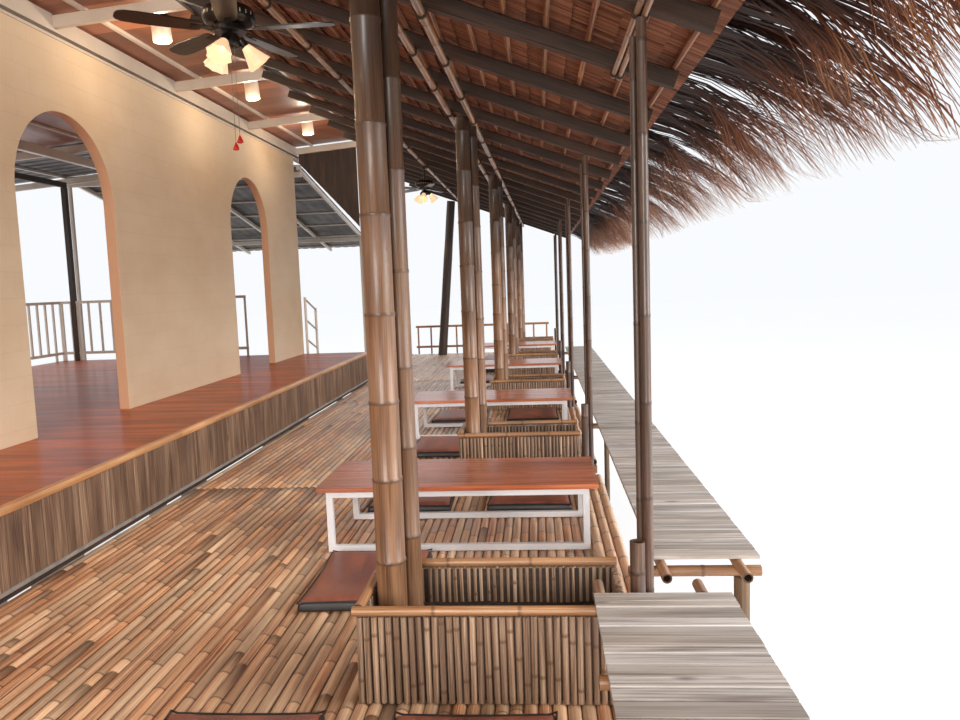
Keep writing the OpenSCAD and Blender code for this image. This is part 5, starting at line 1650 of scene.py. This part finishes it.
def studio_floor():
    """A wide pale floor that glows a little where it is seen."""
    half = FLOOR_HALF
    mesh = bpy.data.meshes.new("studio_floor")
    corners = [(-half, -half, 0), (half, -half, 0), (half, half, 0), (-half, half, 0)]
    mesh.from_pydata(corners, [], [(0, 1, 2, 3)])
    g = Graph("studio_floor", Roughness=1.0, Specular_IOR_Level=0.0)
    g.colour(g.mix(g.noise(g.place(), 0.4, 3.0), rgb(222, 223, 224), rgb(230, 231, 232)))
    g.put(g.shader.inputs["Emission Color"], WHITE)
    g.put(g.shader.inputs["Emission Strength"], g.math("MULTIPLY", g.seen(), 0.32))
    mesh.materials.append(g.material)
    linked("studio_floor", mesh)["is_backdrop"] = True


def sky():
    """Pale light from all round, a little stronger where it is seen."""
    world = bpy.data.worlds.new("studio_world")
    bpy.context.scene.world = world
    tree = Nodes(world)
    back = tree.nodes["Background"].inputs
    tree.put(back["Color"], (0.95, 0.97, 1.0, 1.0))
    tree.put(back["Strength"], tree.span(tree.seen(), 0.0, 1.0, 0.88, 1.0))


def lamp(name, kind, spot, power, colour):
    """A light of one kind at a spot."""
    light = bpy.data.lights.new(name, kind)
    light.energy = power
    light.color = colour
    obj = linked(name, light)
    obj.location = spot
    return obj


def area(name, spot, target, size, power, colour):
    """A square light turned to a target, out of the camera's sight."""
    obj = lamp(name, "AREA", spot, power, colour)
    obj.data.size = size
    obj.rotation_euler = (Vector(target) - Vector(spot)).to_track_quat("-Z", "Y").to_euler()
    obj.visible_camera = False


def studio():
    """The photo's viewpoint, a pale floor and soft light."""
    photo_camera()
    studio_floor()
    sky()
    area("river_light", (24, -9, 10), (0, 0, 3.5), 14, 6200, (1.0, 0.98, 0.95))
    area("land_light", (-20, 6, 18), (0, 0, 3), 14, 2600, (0.97, 0.98, 1.0))
    area("deck_light", local(1.6, -7.5, 6.4), local(-0.2, 6.0, 4.2), 4, 1150, (1.0, 0.95, 0.9))
    for solid in solids("downlights"):
        lo, hi = box_of(solid)
        spot = ((lo.x + hi.x) / 2, (lo.y + hi.y) / 2, lo.z - GLOW_DROP)
        lamp("downlight_glow", "POINT", spot, 16, (1.0, 0.82, 0.6)).data.shadow_soft_size = 0.05
    bpy.context.scene.view_settings.view_transform = "Standard"


# The house

DRESSED = (("house_columns", CONCRETE, 0.006), ("house_beams", GREY_STEEL, 0.004),
           ("front_wall", CREAM, 0.004), ("rear_frame", STEEL, 0.003), ("land_posts", TIMBER, 0.003),
           ("white_railing", STEEL, 0.002), ("step_railing", STEEL, 0), ("end_step", FLOOR, 0.003),
           ("end_railing", CULM, 0), ("canopy_frame", STEEL, 0.002))


def build():
    """Every piece, in the order that the random draws follow."""
    culm_node("deck_stilt_culms", "deck_stilts", "stilt_wood", STILT, 0.6, 14)
    culm_node("bearer_culms", "deck_bearers", "stilt_wood", STILT, 0.6, 14)
    culm_node("joist_culms", "deck_joists", "bamboo", CULM, 0.4, 12, hollow=BOTH)
    for node, material, bevel in DRESSED:
        dress(node, material, bevel)
    timbers("floor_joist_timbers", "floor_joists", TIMBER, 0.001, 0.003)
    deck()
    floor()
    edge_culms()
    wall_plate()
    steel_bars("rafter_boxes", "steel_rafters", 0.0015)
    steel_bars("purlin_boxes", "steel_purlins", 0.0008, 0.002)
    ceiling()
    sheet_roof("ribbed_roof", "roof_sheet", 0, 0.25, 0.022, SHEET)
    sheet_roof("ribbed_canopy", "canopy_sheet", 1, 0.2, 0.008, DARK_SHEET)
    screen_boards()
    posts()
    timbers("ledger_timber", "thatch_ledger", TIMBER, 0.001)
    timbers("rafter_timbers", "thatch_rafters", TIMBER)
    battens()
    thatch()
    fringe()
    lashings()
    planters()
    counter()
    tables()
    cushions()
    downlights()
    pull_chains()
    fan("near_fan", "fan_rotor_near", "fan_near")
    fan("far_fan", "fan_rotor_far", "fan_far")


studio()
build()
visual_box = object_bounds()
[[list(corner) for corner in both] for both in (cad_box, visual_box)]
